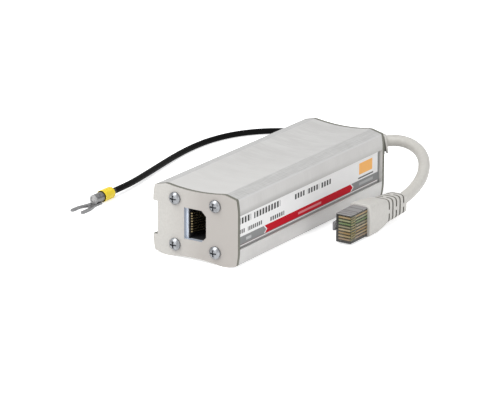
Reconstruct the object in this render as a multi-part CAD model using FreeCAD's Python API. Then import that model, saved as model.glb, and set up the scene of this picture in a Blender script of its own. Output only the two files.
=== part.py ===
import FreeCAD, Part
import math
import os

# Ethernet surge protector: an aluminium profile between two sheet plates, a socket in the front plate,
# and at the rear a patch cord with its plug and a ground wire with its fork terminal.
# X is the width, Y runs from the front plate to the rear plate, Z is up. The origin is on the surface that
# the protector stands on, under the middle of the housing. Everything is in millimetres.

V = FreeCAD.Vector
X_AXIS = V(1, 0, 0)
Y_AXIS = V(0, 1, 0)
Z_AXIS = V(0, 0, 1)
CLEAR = 0.1

# Housing profile
HOUSING_WIDTH = 38.0
HOUSING_HEIGHT = 28.0
HOUSING_LENGTH = 102.0
RIDGE_INSET = 6.2
RIDGE_LAND = 1.2
HOLLOW_DEPTH = 1.0
SHOULDER_DROP = 1.15
SIDE_INSET = 0.75
SIDE_RISE = 7.1
SHOULDER_RADIUS = 0.6
INNER_RADIUS = 1.0
ROOF_WALL = 1.8
SLOT_FLOOR_WALL = 1.3

# T-slot along each side of the housing
SLOT_MOUTH = 13.0
SLOT_POCKET = 15.8
SLOT_LIP = 0.7
SLOT_DEPTH = 2.0

# Sheet plates and their screws
PLATE_THICKNESS = 1.5
SCREW_RISE_SHARE = 9 / 14
SCREW_HEAD_RADIUS = 2.4
SCREW_HEAD_HEIGHT = 1.9
SCREW_RIM = 0.7
SCREW_RADIUS = 1.05
SCREW_LENGTH = 9.0
SCREW_RECESS_LENGTH = 2.8
SCREW_RECESS_WIDTH = 0.6
SCREW_RECESS_DEPTH = 1.2
PLATE_HOLE_RADIUS = 1.35
PORT_RADIUS = 2.4
PORT_WEB = 2.4

# Printed strip in the right T-slot
LABEL_THICKNESS = 0.6
LABEL_REAR_GAP = 0.4

# Socket, turned so that its contacts lie on the left
SOCKET_WIDTH = 12.2
SOCKET_LEFT = 5.0
SOCKET_RIGHT = 4.85
MOUTH_LEFT = 3.6
SOCKET_CHAMFER = 2.0
SHELL_HALF_WIDTH = 6.5
SHELL_HEIGHT = 16.2
SHELL_DEPTH = 17.0
SHELL_WALL = 0.3
CAVITY_BACK_WALL = 2.15
CONTACT_COUNT = 8
CONTACT_PITCH = 1.016
SPRING_WIDTH = 0.45
SPRING_THICKNESS = 0.3
SPRING_X = -3.45
SPRING_BEND = 0.4
SPRING_SLOPE = 19.0
SPRING_REACH = 6.4
SPRING_SETBACK = 0.2
GROOVE_WIDTH = 0.65

# Boards
BOARD_THICKNESS = 1.6
BOARD_ABOVE_PORT = 1.8
BOARD_REAR_GAP = 6.0
GROOVE_RIB = 0.9
GROOVE_REACH = 1.5
LINK_PITCH = 1.27
LINK_PIN = 0.5
LINK_STRIP = 2.2

# Surge components, their rows counted from the socket's rear
TUBE_LENGTH = 9.0
TUBE_HEADROOM = 0.7
TUBE_RING = 1.2
TUBE_RING_STEP = 0.3
TUBE_LIFT = 0.5
TUBE_LEG_RADIUS = 0.4
TUBE_WALL_GAP = 7.5
TUBE_ROWS = (10.5, 22.5)
DIODE_SIZE = (4.9, 3.9, 1.5)
DIODE_LEG = (0.4, 1.0, 0.6)
DIODE_ROW = 41.5
RESISTOR_SIZE = (4.6, 2.4, 0.8)
RESISTOR_ROW = 33.5
PART_SPACING = 6.6

# Cord's terminal block and cores inside the housing
BLOCK_GAP = 0.3
BLOCK_LENGTH = 7.0
BLOCK_HEIGHT = 7.0
BLOCK_REAR_GAP = 15.0
CORE_RADIUS = 0.65
CORE_COUNT = 4
CORE_BUNDLE = 0.85
CORE_DEPTH = 3.0

# Ground wire's clamp inside the housing
EARTH_WIDTH = 6.0
EARTH_LENGTH = 11.0
EARTH_HEADROOM = 1.8
EARTH_REAR_GAP = 9.0
EARTH_SCREW_RADIUS = 1.5
EARTH_SCREW_HEIGHT = 1.6

# Patch cord and its route, from inside the housing to inside the plug. A route's points are given across from
# the exit, back from the rear plate's outer face, and above the floor.
CORD_DIAMETER = 4.7
CORD_ROUTE = [
    (0.0, -4.5, 14.0),
    (0.0, 3.7, 14.0),
    (0.25, 11.9, 14.15),
    (1.4, 17.4, 14.6),
    (4.0, 21.8, 15.4),
    (8.8, 25.0, 16.3),
    (14.4, 25.7, 16.1),
    (19.9, 23.9, 15.1),
    (24.5, 20.5, 13.8),
    (28.1, 16.0, 12.3),
    (30.8, 11.0, 10.9),
    (32.9, 5.6, 9.5),
    (34.2, 0.0, 8.3),
    (35.1, -6.5, 7.1),
    (35.7, -16.0, 6.0),
    (35.95, -27.0, 5.9),
    (35.95, -37.5, 6.5),
]

# Strain relief on the rear plate: distance from the plate, height and width of its sections
RELIEF_SECTIONS = [(0.0, 13.0, 8.6), (4.0, 12.4, 8.6), (14.0, 9.4, 8.2), (25.5, 7.6, 7.8)]
RELIEF_FIRST_SLOT = 13.0
RELIEF_STATION = 2.0
RELIEF_FLANGE = 1.5
NECK_HEIGHT = 10.2
NECK_WIDTH = 6.2

# Plug, standing on its narrow side
PLUG_LENGTH = 21.5
PLUG_REAR_PAST_CORD = 0.5
PLUG_WIDTH = 11.68
PLUG_HEIGHT = 6.6
PLUG_STEP = 0.15
PLUG_STEP_LENGTH = 3.4
PLUG_EDGE = 0.25
PLUG_WAIST_START = 15.5
PLUG_WAIST_WIDTH = 8.6
BLADE_THICKNESS = 0.3
BLADE_LENGTH = 3.6
BLADE_SETBACK = 0.5
BLADE_TOP_GAP = 0.25
BLADE_SLOT_CLEAR = 0.06
CONDUCTOR_RADIUS = 0.47
CONDUCTOR_OFFSET = 0.5
CONDUCTOR_NOSE_GAP = 0.7
CONDUCTOR_LENGTH = 17.4
CHANNEL_HALF = 0.6
POCKET_LENGTH = 8.0
POCKET_HEIGHT = 7.4
POCKET_WIDTH = 5.2

# Latch lever beside the plug
LATCH_THICKNESS = 1.1
LATCH_ROOT_WIDTH = 3.1
LATCH_WING_WIDTH = 6.0
LATCH_WING_START = 4.5
LATCH_WING_END = 8.2
LATCH_LENGTH = 12.4
LATCH_ANGLE = 9.0
LATCH_BEAD_RADIUS = 0.6
LATCH_GAP = 0.6
LATCH_SETBACK = 0.8

# Boot over the plug: distance from its mouth, height, width and how far its middle lies above the plug's
BOOT_MOUTH_FROM_NOSE = 12.1
BOOT_SECTIONS = [(0.0, 13.4, 9.4), (4.5, 13.1, 9.3), (16.3, 10.2, 8.7), (29.2, 7.0, 8.0)]
BOOT_RISES = (0.25, 0.2, 0.1, -1.6)
BOOT_FIRST_SLOT = 15.9
BOOT_NOTCH_LENGTH = 4.5
BOOT_NOTCH_MARGIN = 0.8
RELIEF_CORNER = 1.2
RELIEF_SLOTS = 5
RELIEF_SLOT_PITCH = 2.6
RELIEF_SLOT_WIDTH = 1.05
RELIEF_SLOT_DEPTH = 1.3
RELIEF_BRIDGE = 1.5

# Ground wire and its route, from the clamp to the fork terminal
WIRE_DIAMETER = 2.5
WIRE_EXIT_SHARE = 0.605
WIRE_ROUTE = [
    (0.0, -13.0, 14.0),
    (0.0, 0.0, 14.0),
    (-0.4, 13.0, 12.6),
    (-3.1, 26.6, 9.0),
    (-8.8, 39.2, 5.0),
    (-18.1, 49.6, 2.6),
    (-30.7, 55.9, 1.8),
    (-44.8, 56.4, 1.6),
    (-57.5, 50.6, 1.5),
    (-66.5, 39.8, 1.5),
    (-71.1, 26.3, 1.4),
    (-71.8, 12.0, 1.35),
    (-70.4, -2.4, 1.35),
    (-67.9, -16.4, 1.5),
    (-65.1, -30.6, 1.8),
    (-62.5, -44.6, 2.1),
    (-61.5, -58.0, 2.4),
]

# Bush in the rear plate
BUSH_FLANGE_RADIUS = 2.7
BUSH_FLANGE = 1.2
BUSH_INNER_FLANGE = 1.0
BUSH_NECK_RADIUS = 2.0
BUSH_NOSE_RADIUS = 2.1
BUSH_NOSE_LENGTH = 3.0

# Fork terminal, lying flat with its axis along Y
SLEEVE_PAST_WIRE = 1.1
SLEEVE_LENGTH = 7.9
SLEEVE_RADIUS = 2.4
SLEEVE_FACETS = 12
SLEEVE_MOUTH_RADIUS = 2.2
SLEEVE_MOUTH_DEPTH = 1.2
BARREL_RADIUS = 1.95
BARREL_WALL = 0.45
BARREL_LENGTH = 6.5
BARREL_GAP = 0.6
BARREL_NECK_RADIUS = 1.65
BARREL_SEAT = 5.0
CORE_END_RADIUS = 1.2
CORE_END_RECESS = 0.2
BLADE_SHEET = 0.9
FORK_ROOT_WIDTH = 3.6
FORK_VERTEX = 2.6
FORK_LENGTH = 11.2
FORK_WIDTH = 6.4
FORK_SPLAY = 2.1
FORK_TINE_WIDTH = 1.4
FORK_CROTCH_RADIUS = 0.4
FORK_TIP_RADIUS = 0.3

# Places worked out from the sizes above
FRONT_Y = -HOUSING_LENGTH / 2
REAR_Y = HOUSING_LENGTH / 2
PLATE_REAR_Y = REAR_Y + PLATE_THICKNESS
MID_Z = HOUSING_HEIGHT / 2
CORD_AXIS_Z = MID_Z
RIDGE_X = HOUSING_WIDTH / 2 - RIDGE_INSET
SLOT_FLOOR_X = HOUSING_WIDTH / 2 - SLOT_DEPTH
CAVITY_X = SLOT_FLOOR_X - SLOT_FLOOR_WALL
CAVITY_LOW = HOLLOW_DEPTH + ROOF_WALL
CAVITY_HIGH = HOUSING_HEIGHT - CAVITY_LOW
SCREW_X = SHELL_HALF_WIDTH + PORT_RADIUS + CLEAR
SCREW_RISE = HOUSING_HEIGHT * SCREW_RISE_SHARE
UPPER_PORT_LOW = MID_Z + SCREW_RISE / 2 - PORT_RADIUS
BOARD_UNDERSIDE = MID_Z - SCREW_RISE / 2 + PORT_RADIUS + BOARD_ABOVE_PORT
BOARD_TOP = BOARD_UNDERSIDE + BOARD_THICKNESS
BOARD_REAR = REAR_Y - BOARD_REAR_GAP
SHELL_REAR_Y = FRONT_Y + SHELL_DEPTH
TUBE_RADIUS = (UPPER_PORT_LOW - BOARD_TOP - TUBE_LIFT - TUBE_HEADROOM) / 2 - TUBE_RING_STEP
TUBE_COLUMN_X = CAVITY_X - TUBE_WALL_GAP
DIODE_ROW_Y = SHELL_REAR_Y + DIODE_ROW
RESISTOR_ROW_Y = SHELL_REAR_Y + RESISTOR_ROW
WIRE_X = -CAVITY_X * WIRE_EXIT_SHARE
WIRE_END_Y = PLATE_REAR_Y + WIRE_ROUTE[-1][1]
EARTH_FRONT_Y = REAR_Y - EARTH_REAR_GAP - EARTH_LENGTH
EARTH_HEIGHT = UPPER_PORT_LOW - BOARD_TOP - EARTH_SCREW_HEIGHT - EARTH_HEADROOM
BLOCK_WIDTH = 2 * (-WIRE_X - EARTH_WIDTH / 2 - BLOCK_GAP)
BLOCK_FRONT_Y = REAR_Y - BLOCK_REAR_GAP - BLOCK_LENGTH
CORE_SPREAD = BLOCK_WIDTH / CORE_COUNT - CLEAR
PLUG_X = CORD_ROUTE[-1][0]
PLUG_Z = CORD_ROUTE[-1][2]
PLUG_REAR_Y = PLATE_REAR_Y + CORD_ROUTE[-1][1] + PLUG_REAR_PAST_CORD
PLUG_NOSE_Y = PLUG_REAR_Y - PLUG_LENGTH
BOOT_MOUTH_Y = PLUG_NOSE_Y + BOOT_MOUTH_FROM_NOSE
LATCH_AXIS_X = PLUG_X - PLUG_HEIGHT / 2 - LATCH_GAP - LATCH_BEAD_RADIUS
LATCH_AXIS_Y = PLUG_NOSE_Y + LATCH_SETBACK
TERMINAL_X = WIRE_X + WIRE_ROUTE[-1][0]
SLEEVE_REAR_Y = WIRE_END_Y + SLEEVE_PAST_WIRE


def block(x0, x1, y0, y1, z0, z1):
    """A box from its lowest to its highest corner."""
    return Part.makeBox(x1 - x0, y1 - y0, z1 - z0, V(x0, y0, z0))


def centred_block(centre, size):
    """A box about its centre."""
    low = V(*[c - s / 2 for c, s in zip(centre, size)])
    return Part.makeBox(size[0], size[1], size[2], low)


def rod(start, direction, radius, length):
    """A round rod."""
    return Part.makeCylinder(radius, length, V(*start), direction)


def polygon(points):
    """A closed face through points that lie in one plane."""
    corners = [V(*p) for p in points]
    return Part.Face(Part.makePolygon(corners + corners[:1]))


def edges_along(shape, direction, places, tolerance=0.05):
    """The straight edges that run along a direction through one of the (x, z) places."""
    found = []
    for edge in shape.Edges:
        middle = edge.CenterOfMass
        near = any(math.hypot(middle.x - x, middle.z - z) < tolerance for x, z in places)
        if near and edge.tangentAt(edge.FirstParameter).cross(direction).Length < tolerance:
            found.append(edge)
    return found


def profile_face(y):
    """The outline shared by the housing and its plates: ridges, hollow crowns, shoulders, bulged sides."""
    land = RIDGE_LAND / 2
    corner_x = HOUSING_WIDTH / 2 - SIDE_INSET
    side_mid_x = HOUSING_WIDTH / 2 - SIDE_INSET / 4
    low_side = SHOULDER_DROP + (SIDE_RISE - SHOULDER_DROP) / 2

    def at(x, z):
        return V(x, y, z)

    def side(sign, z_sign):
        """One quarter's shoulder and bulge, from the ridge to the flat of the side."""
        def height(z):
            return MID_Z + z_sign * (MID_Z - z)
        ridge = at(sign * (RIDGE_X + land), height(0))
        corner = at(sign * corner_x, height(SHOULDER_DROP))
        flank = at(sign * HOUSING_WIDTH / 2, height(SIDE_RISE))
        bulge = at(sign * side_mid_x, height(low_side))
        return [Part.LineSegment(ridge, corner).toShape(), Part.Arc(corner, bulge, flank).toShape()]

    edges = []
    for z_sign in (1, -1):
        z = MID_Z + z_sign * MID_Z
        crown = at(0, z - z_sign * HOLLOW_DEPTH)
        left = at(-RIDGE_X + land, z)
        right = at(RIDGE_X - land, z)
        edges.append(Part.Arc(left, crown, right).toShape())
        for sign in (1, -1):
            start = at(sign * (RIDGE_X - land), z)
            end = at(sign * (RIDGE_X + land), z)
            edges.append(Part.LineSegment(start, end).toShape())
            edges += side(sign, z_sign)
    for sign in (1, -1):
        low = at(sign * HOUSING_WIDTH / 2, SIDE_RISE)
        high = at(sign * HOUSING_WIDTH / 2, HOUSING_HEIGHT - SIDE_RISE)
        edges.append(Part.LineSegment(low, high).toShape())
    return Part.Face(Part.Wire(Part.__sortEdges__(edges)))


def profile_prism(y0, y1):
    """The outline drawn out along Y, with its four shoulder corners rounded."""
    prism = profile_face(y0).extrude(V(0, y1 - y0, 0))
    corner_x = HOUSING_WIDTH / 2 - SIDE_INSET
    heights = (SHOULDER_DROP, HOUSING_HEIGHT - SHOULDER_DROP)
    places = [(x, z) for x in (corner_x, -corner_x) for z in heights]
    return prism.makeFillet(SHOULDER_RADIUS, edges_along(prism, Y_AXIS, places))


def screw_places():
    """The (x, z) centres of the four plate screws."""
    rise = SCREW_RISE / 2
    return [(x, z) for x in (-SCREW_X, SCREW_X) for z in (MID_Z - rise, MID_Z + rise)]


def slot_cutter(sign):
    """The T-slot of one side: a mouth and the wider pocket behind its lips."""
    side_x = HOUSING_WIDTH / 2
    mouth = centred_block((side_x, 0, MID_Z), (2 * SLOT_DEPTH, HOUSING_LENGTH + 2, SLOT_MOUTH))
    pocket_size = (SLOT_DEPTH - SLOT_LIP, HOUSING_LENGTH + 2, SLOT_POCKET)
    pocket = centred_block((side_x - SLOT_LIP - pocket_size[0] / 2, 0, MID_Z), pocket_size)
    cutter = mouth.fuse(pocket)
    return cutter if sign > 0 else cutter.mirror(V(0, 0, 0), X_AXIS)


def screw_port(x, z):
    """A bored port for a plate screw, tied to the nearest wall by a web."""
    port = rod((x, FRONT_Y, z), Y_AXIS, PORT_RADIUS, HOUSING_LENGTH)
    wall_z = CAVITY_LOW - ROOF_WALL / 2 if z < MID_Z else CAVITY_HIGH + ROOF_WALL / 2
    low, high = sorted((wall_z, z))
    web = block(x - PORT_WEB / 2, x + PORT_WEB / 2, FRONT_Y, REAR_Y, low, high)
    return port.fuse(web)


def board_groove(sign):
    """Two ribs on a side wall that hold the edge of the main board."""
    outer = sign * (CAVITY_X + SLOT_FLOOR_WALL / 2)
    inner = sign * (CAVITY_X - GROOVE_REACH)
    x0, x1 = sorted((outer, inner))
    below = block(x0, x1, FRONT_Y, REAR_Y, BOARD_UNDERSIDE - CLEAR - GROOVE_RIB, BOARD_UNDERSIDE - CLEAR)
    above = block(x0, x1, FRONT_Y, REAR_Y, BOARD_TOP + CLEAR, BOARD_TOP + CLEAR + GROOVE_RIB)
    return [below, above]


def housing_extrusion():
    """The aluminium profile: a tube with T-slots outside, ports and board grooves inside."""
    body = profile_prism(FRONT_Y, REAR_Y)
    cavity = block(-CAVITY_X, CAVITY_X, FRONT_Y - 1, REAR_Y + 1, CAVITY_LOW, CAVITY_HIGH)
    corners = [(x, z) for x in (-CAVITY_X, CAVITY_X) for z in (CAVITY_LOW, CAVITY_HIGH)]
    cavity = cavity.makeFillet(INNER_RADIUS, edges_along(cavity, Y_AXIS, corners))
    body = body.cut([cavity, slot_cutter(1), slot_cutter(-1)])
    ports = [screw_port(x, z) for x, z in screw_places()]
    body = body.fuse(ports + board_groove(1) + board_groove(-1))
    bores = [rod((x, FRONT_Y - 1, z), Y_AXIS, SCREW_RADIUS + CLEAR / 2, HOUSING_LENGTH + 2)
             for x, z in screw_places()]
    return body.cut(bores).removeSplitter()


def plate_blank(y0):
    """A sheet plate in the housing's outline, with its screw holes and the notch over the left slot."""
    y1 = y0 + PLATE_THICKNESS
    plate = profile_prism(y0, y1)
    holes = [rod((x, y0 - 1, z), Y_AXIS, PLATE_HOLE_RADIUS, PLATE_THICKNESS + 2) for x, z in screw_places()]
    half = SLOT_MOUTH / 2
    notch = block(-HOUSING_WIDTH, -SLOT_FLOOR_X, y0 - 1, y1 + 1, MID_Z - half, MID_Z + half)
    return plate.cut(holes + [notch])


def socket_prism(left_side, grow, y0, y1):
    """The socket's outline with two chamfered corners on its latch side, grown all round, drawn along Y."""
    left = -left_side - grow
    right = SOCKET_RIGHT + grow
    half = SOCKET_WIDTH / 2 + grow
    chamfer = SOCKET_CHAMFER + grow * (2 - math.sqrt(2))
    outline = [(left, -half), (right - chamfer, -half), (right, -half + chamfer), (right, half - chamfer),
               (right - chamfer, half), (left, half)]
    return polygon([(x, y0, MID_Z + z) for x, z in outline]).extrude(V(0, y1 - y0, 0))


def front_plate():
    """The front plate with the socket cut-out."""
    y0 = FRONT_Y - PLATE_THICKNESS
    return plate_blank(y0).cut(socket_prism(SOCKET_LEFT, 0, y0 - 1, FRONT_Y + 1))


def neck_prism(height, width, y0, y1):
    """A round-cornered block about the cord's axis."""
    neck = block(-width / 2, width / 2, y0, y1, CORD_AXIS_Z - height / 2, CORD_AXIS_Z + height / 2)
    corners = [(x, z) for x in (-width / 2, width / 2)
               for z in (CORD_AXIS_Z - height / 2, CORD_AXIS_Z + height / 2)]
    return neck.makeFillet(RELIEF_CORNER, edges_along(neck, Y_AXIS, corners))


def rear_plate():
    """The rear plate with the openings for the strain relief and the ground wire's bush."""
    plate = plate_blank(REAR_Y)
    opening = neck_prism(NECK_HEIGHT + 2 * CLEAR, NECK_WIDTH + 2 * CLEAR, REAR_Y - 1, PLATE_REAR_Y + 1)
    bush_hole = rod((WIRE_X, REAR_Y - 1, CORD_AXIS_Z), Y_AXIS, BUSH_NECK_RADIUS, PLATE_THICKNESS + 2)
    return plate.cut([opening, bush_hole])


def pan_head_screw():
    """A pan-head screw with a cross recess, its head's seat at Z 0 and its head up."""
    rise = SCREW_HEAD_HEIGHT - SCREW_RIM
    dome = (SCREW_HEAD_RADIUS ** 2 + rise ** 2) / (2 * rise)
    halfway = math.asin(SCREW_HEAD_RADIUS / dome) / 2
    rim = V(SCREW_HEAD_RADIUS, 0, SCREW_RIM)
    shoulder = V(dome * math.sin(halfway), 0, SCREW_HEAD_HEIGHT - dome * (1 - math.cos(halfway)))
    top = V(0, 0, SCREW_HEAD_HEIGHT)
    foot = V(0, 0, -SCREW_LENGTH)
    edges = [
        Part.LineSegment(foot, V(SCREW_RADIUS, 0, -SCREW_LENGTH)).toShape(),
        Part.LineSegment(V(SCREW_RADIUS, 0, -SCREW_LENGTH), V(SCREW_RADIUS, 0, 0)).toShape(),
        Part.LineSegment(V(SCREW_RADIUS, 0, 0), V(SCREW_HEAD_RADIUS, 0, 0)).toShape(),
        Part.LineSegment(V(SCREW_HEAD_RADIUS, 0, 0), rim).toShape(),
        Part.Arc(rim, shoulder, top).toShape(),
        Part.LineSegment(top, foot).toShape(),
    ]
    screw = Part.Face(Part.Wire(edges)).revolve(V(0, 0, 0), Z_AXIS, 360)
    recess_z = SCREW_HEAD_HEIGHT
    arm = (SCREW_RECESS_LENGTH, SCREW_RECESS_WIDTH, 2 * SCREW_RECESS_DEPTH)
    across = (SCREW_RECESS_WIDTH, SCREW_RECESS_LENGTH, 2 * SCREW_RECESS_DEPTH)
    cross = [centred_block((0, 0, recess_z), arm), centred_block((0, 0, recess_z), across)]
    return screw.cut(cross)


def plate_screws(sign):
    """The four screws of one plate, their heads on its outer face."""
    seat_y = sign * (HOUSING_LENGTH / 2 + PLATE_THICKNESS)
    turn = 90 if sign < 0 else -90
    screws = []
    for x, z in screw_places():
        screw = pan_head_screw()
        screw.rotate(V(0, 0, 0), X_AXIS, turn)
        screw.translate(V(x, seat_y, z))
        screws.append(screw)
    return Part.makeCompound(screws)


def label_strip():
    """The printed strip, slid behind the lips of the right T-slot up to the front plate."""
    half = SLOT_POCKET / 2 - 2 * CLEAR
    x0 = SLOT_FLOOR_X + CLEAR
    return block(x0, x0 + LABEL_THICKNESS, FRONT_Y, REAR_Y - LABEL_REAR_GAP, MID_Z - half, MID_Z + half)


def jack_shell():
    """The socket's metal shield: a box open at the rear, its face behind the plate cut out for the mouth."""
    half = SHELL_HEIGHT / 2
    outer = block(-SHELL_HALF_WIDTH, SHELL_HALF_WIDTH, FRONT_Y, SHELL_REAR_Y, MID_Z - half, MID_Z + half)
    inner_x = SHELL_HALF_WIDTH - SHELL_WALL
    inner_z = half - SHELL_WALL
    inner = block(-inner_x, inner_x, FRONT_Y + SHELL_WALL, SHELL_REAR_Y + 1, MID_Z - inner_z, MID_Z + inner_z)
    mouth = socket_prism(MOUTH_LEFT, 0, FRONT_Y - 1, FRONT_Y + 1)
    return outer.cut([inner, mouth])


def contact_heights(centre_z):
    """The heights of eight contacts about a centre."""
    first = centre_z - CONTACT_PITCH * (CONTACT_COUNT - 1) / 2
    return [first + i * CONTACT_PITCH for i in range(CONTACT_COUNT)]


def jack_insulator():
    """The black socket body with its cavity and a groove for each spring contact."""
    front = FRONT_Y + SHELL_WALL + CLEAR / 2
    half_x = SHELL_HALF_WIDTH - SHELL_WALL - CLEAR / 2
    half_z = SHELL_HEIGHT / 2 - SHELL_WALL - CLEAR / 2
    body = block(-half_x, half_x, front, SHELL_REAR_Y, MID_Z - half_z, MID_Z + half_z)
    back = SHELL_REAR_Y - CAVITY_BACK_WALL
    cavity = socket_prism(MOUTH_LEFT, -CLEAR, front - 1, back)
    depth = SPRING_THICKNESS / 2 + CLEAR
    groove_end = SPRING_X + 2 * SPRING_BEND + depth
    grooves = [block(SPRING_X - depth, groove_end, front + 2 * CLEAR, back - CLEAR,
                     z - GROOVE_WIDTH / 2, z + GROOVE_WIDTH / 2) for z in contact_heights(MID_Z)]
    exits = [block(SPRING_X - depth, SPRING_X + depth, back - 1, SHELL_REAR_Y + 1,
                   z - GROOVE_WIDTH / 2, z + GROOVE_WIDTH / 2) for z in contact_heights(MID_Z)]
    return body.cut([cavity] + grooves + exits)


def jack_contact(z):
    """One spring: a leg along the left wall, a bend at the mouth and a sprung arm sloping into the cavity."""
    half = SPRING_THICKNESS / 2
    slope = math.radians(SPRING_SLOPE)
    bend_y = FRONT_Y + SHELL_WALL + SPRING_SETBACK + SPRING_BEND
    tail_y = SHELL_REAR_Y + BOARD_THICKNESS
    centre = V(SPRING_X + SPRING_BEND, bend_y, z)
    bottom = V(0, -1, 0)
    heading = V(math.sin(slope), math.cos(slope), 0)
    outward = V(math.cos(slope), -math.sin(slope), 0)

    def bend(radius):
        """The arc at one side of the strip, from the leg to the arm."""
        return Part.Arc(centre - X_AXIS * radius, centre + bottom * radius, centre + outward * radius)

    outer = bend(SPRING_BEND + half)
    inner = bend(SPRING_BEND - half)
    tail_outer = V(outer.StartPoint.x, tail_y, z)
    tail_inner = V(inner.StartPoint.x, tail_y, z)
    tip_outer = outer.EndPoint + heading * SPRING_REACH
    tip_inner = inner.EndPoint + heading * SPRING_REACH
    edges = [
        Part.LineSegment(tail_outer, outer.StartPoint).toShape(),
        outer.toShape(),
        Part.LineSegment(outer.EndPoint, tip_outer).toShape(),
        Part.LineSegment(tip_outer, tip_inner).toShape(),
        Part.LineSegment(tip_inner, inner.EndPoint).toShape(),
        inner.toShape(),
        Part.LineSegment(inner.StartPoint, tail_inner).toShape(),
        Part.LineSegment(tail_inner, tail_outer).toShape(),
    ]
    strip = Part.Face(Part.Wire(Part.__sortEdges__(edges)))
    strip.translate(V(0, 0, -SPRING_WIDTH / 2))
    return strip.extrude(V(0, 0, SPRING_WIDTH))


def jack_board():
    """The small upright board behind the socket, holed for the contacts' tails."""
    half_z = SHELL_HEIGHT / 2
    y1 = SHELL_REAR_Y + BOARD_THICKNESS
    board = block(-SHELL_HALF_WIDTH, SHELL_HALF_WIDTH, SHELL_REAR_Y, y1, MID_Z - half_z, MID_Z + half_z)
    reach = SPRING_THICKNESS + 2 * CLEAR
    holes = [centred_block((SPRING_X, SHELL_REAR_Y, z), (reach, 4 * BOARD_THICKNESS, GROOVE_WIDTH))
             for z in contact_heights(MID_Z)]
    return board.cut(holes)


def board_link_header():
    """The pin strip that joins the upright board to the main board."""
    y0 = SHELL_REAR_Y + BOARD_THICKNESS
    half = CONTACT_COUNT * LINK_PITCH / 2
    strip = block(-half, half, y0, y0 + LINK_STRIP, BOARD_TOP, BOARD_TOP + LINK_STRIP)
    first = -LINK_PITCH * (CONTACT_COUNT - 1) / 2
    pins = [centred_block((first + i * LINK_PITCH, y0 + LINK_STRIP / 2, BOARD_TOP + LINK_STRIP),
                          (LINK_PIN, LINK_PIN, 2 * LINK_PIN)) for i in range(CONTACT_COUNT)]
    return strip.fuse(pins)


def main_board():
    """The main board, held by its edges in the side grooves."""
    half = CAVITY_X - 2 * CLEAR
    y0 = SHELL_REAR_Y + BOARD_THICKNESS + CLEAR
    return block(-half, half, y0, BOARD_REAR, BOARD_UNDERSIDE, BOARD_TOP)


def gas_discharge_tube(x, y):
    """A gas discharge tube: a ceramic body with three electrode rings, each on its own leg."""
    z = BOARD_TOP + TUBE_LIFT + TUBE_RADIUS + TUBE_RING_STEP
    start = y - TUBE_LENGTH / 2
    body = rod((x, start, z), Y_AXIS, TUBE_RADIUS, TUBE_LENGTH)
    rings = []
    for ring_y in (start, y - TUBE_RING / 2, y + TUBE_LENGTH / 2 - TUBE_RING):
        rings.append(rod((x, ring_y, z), Y_AXIS, TUBE_RADIUS + TUBE_RING_STEP, TUBE_RING))
        leg_start = (x, ring_y + TUBE_RING / 2, BOARD_TOP)
        rings.append(rod(leg_start, Z_AXIS, TUBE_LEG_RADIUS, TUBE_RADIUS))
    return body.fuse(rings)


def suppressor_diode(x):
    """A small diode array with four legs on each side."""
    width, length, height = DIODE_SIZE
    leg_width, leg_reach, leg_height = DIODE_LEG
    body = centred_block((x, DIODE_ROW_Y, BOARD_TOP + leg_height / 2 + height / 2), DIODE_SIZE)
    legs = []
    for i in range(4):
        leg_x = x + (i - 1.5) * LINK_PITCH
        for sign in (1, -1):
            leg_y = DIODE_ROW_Y + sign * (length + leg_reach) / 2
            legs.append(centred_block((leg_x, leg_y, BOARD_TOP + leg_height / 2),
                                      (leg_width, 2 * leg_reach, leg_height)))
    return body.fuse(legs)


def decoupling_resistor(x):
    """A chip resistor flat on the board."""
    return centred_block((x, RESISTOR_ROW_Y, BOARD_TOP + RESISTOR_SIZE[2] / 2), RESISTOR_SIZE)


def core_places():
    """Where each of the cord's four pairs leaves the jacket and enters the terminal block, as offsets."""
    starts = [(-CORE_BUNDLE, -CORE_BUNDLE), (-CORE_BUNDLE, CORE_BUNDLE), (CORE_BUNDLE, CORE_BUNDLE),
              (CORE_BUNDLE, -CORE_BUNDLE)]
    ends = [(i - (CORE_COUNT - 1) / 2) * CORE_SPREAD for i in range(CORE_COUNT)]
    return list(zip(starts, ends))


def cord_terminal_block():
    """The block that takes the cord's pairs, bored from the rear."""
    rear = BLOCK_FRONT_Y + BLOCK_LENGTH
    body = block(-BLOCK_WIDTH / 2, BLOCK_WIDTH / 2, BLOCK_FRONT_Y, rear, BOARD_TOP, BOARD_TOP + BLOCK_HEIGHT)
    holes = [rod((end, rear - CORE_DEPTH - 1, CORD_AXIS_Z), Y_AXIS, CORE_RADIUS + CLEAR, CORE_DEPTH + 2)
             for _, end in core_places()]
    return body.cut(holes)


def exit_route(route, exit_x):
    """A cord's points from its exit in the rear plate; a change of the exit's height fades out as it falls."""
    start_z = route[0][2]
    end_z = route[-1][2]
    points = []
    for x, back, z in route:
        share = max(0, (z - end_z) / (start_z - end_z))
        points.append((exit_x + x, PLATE_REAR_Y + back, z + share * (CORD_AXIS_Z - start_z)))
    return points


def route_edges(points):
    """Straight runs joined by tangent arcs, each as large as its two runs allow, and the arcs' radii."""
    corners = [V(*p) for p in points]
    edges = []
    radii = []
    start = corners[0]
    for before, corner, after in zip(corners, corners[1:], corners[2:]):
        run_in = corner - before
        run_out = after - corner
        turn = run_in.getAngle(run_out)
        cut = 0.45 * min(run_in.Length, run_out.Length)
        radius = cut / math.tan(turn / 2)
        radii.append(radius)
        way_in = V(run_in).normalize()
        way_out = V(run_out).normalize()
        arc_start = corner - way_in * cut
        arc_end = corner + way_out * cut
        inward = (way_out - way_in).normalize()
        middle = corner + inward * (radius / math.cos(turn / 2) - radius)
        edges.append(Part.LineSegment(start, arc_start).toShape())
        edges.append(Part.Arc(arc_start, middle, arc_end).toShape())
        start = arc_end
    edges.append(Part.LineSegment(start, corners[-1]).toShape())
    return edges, radii


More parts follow.
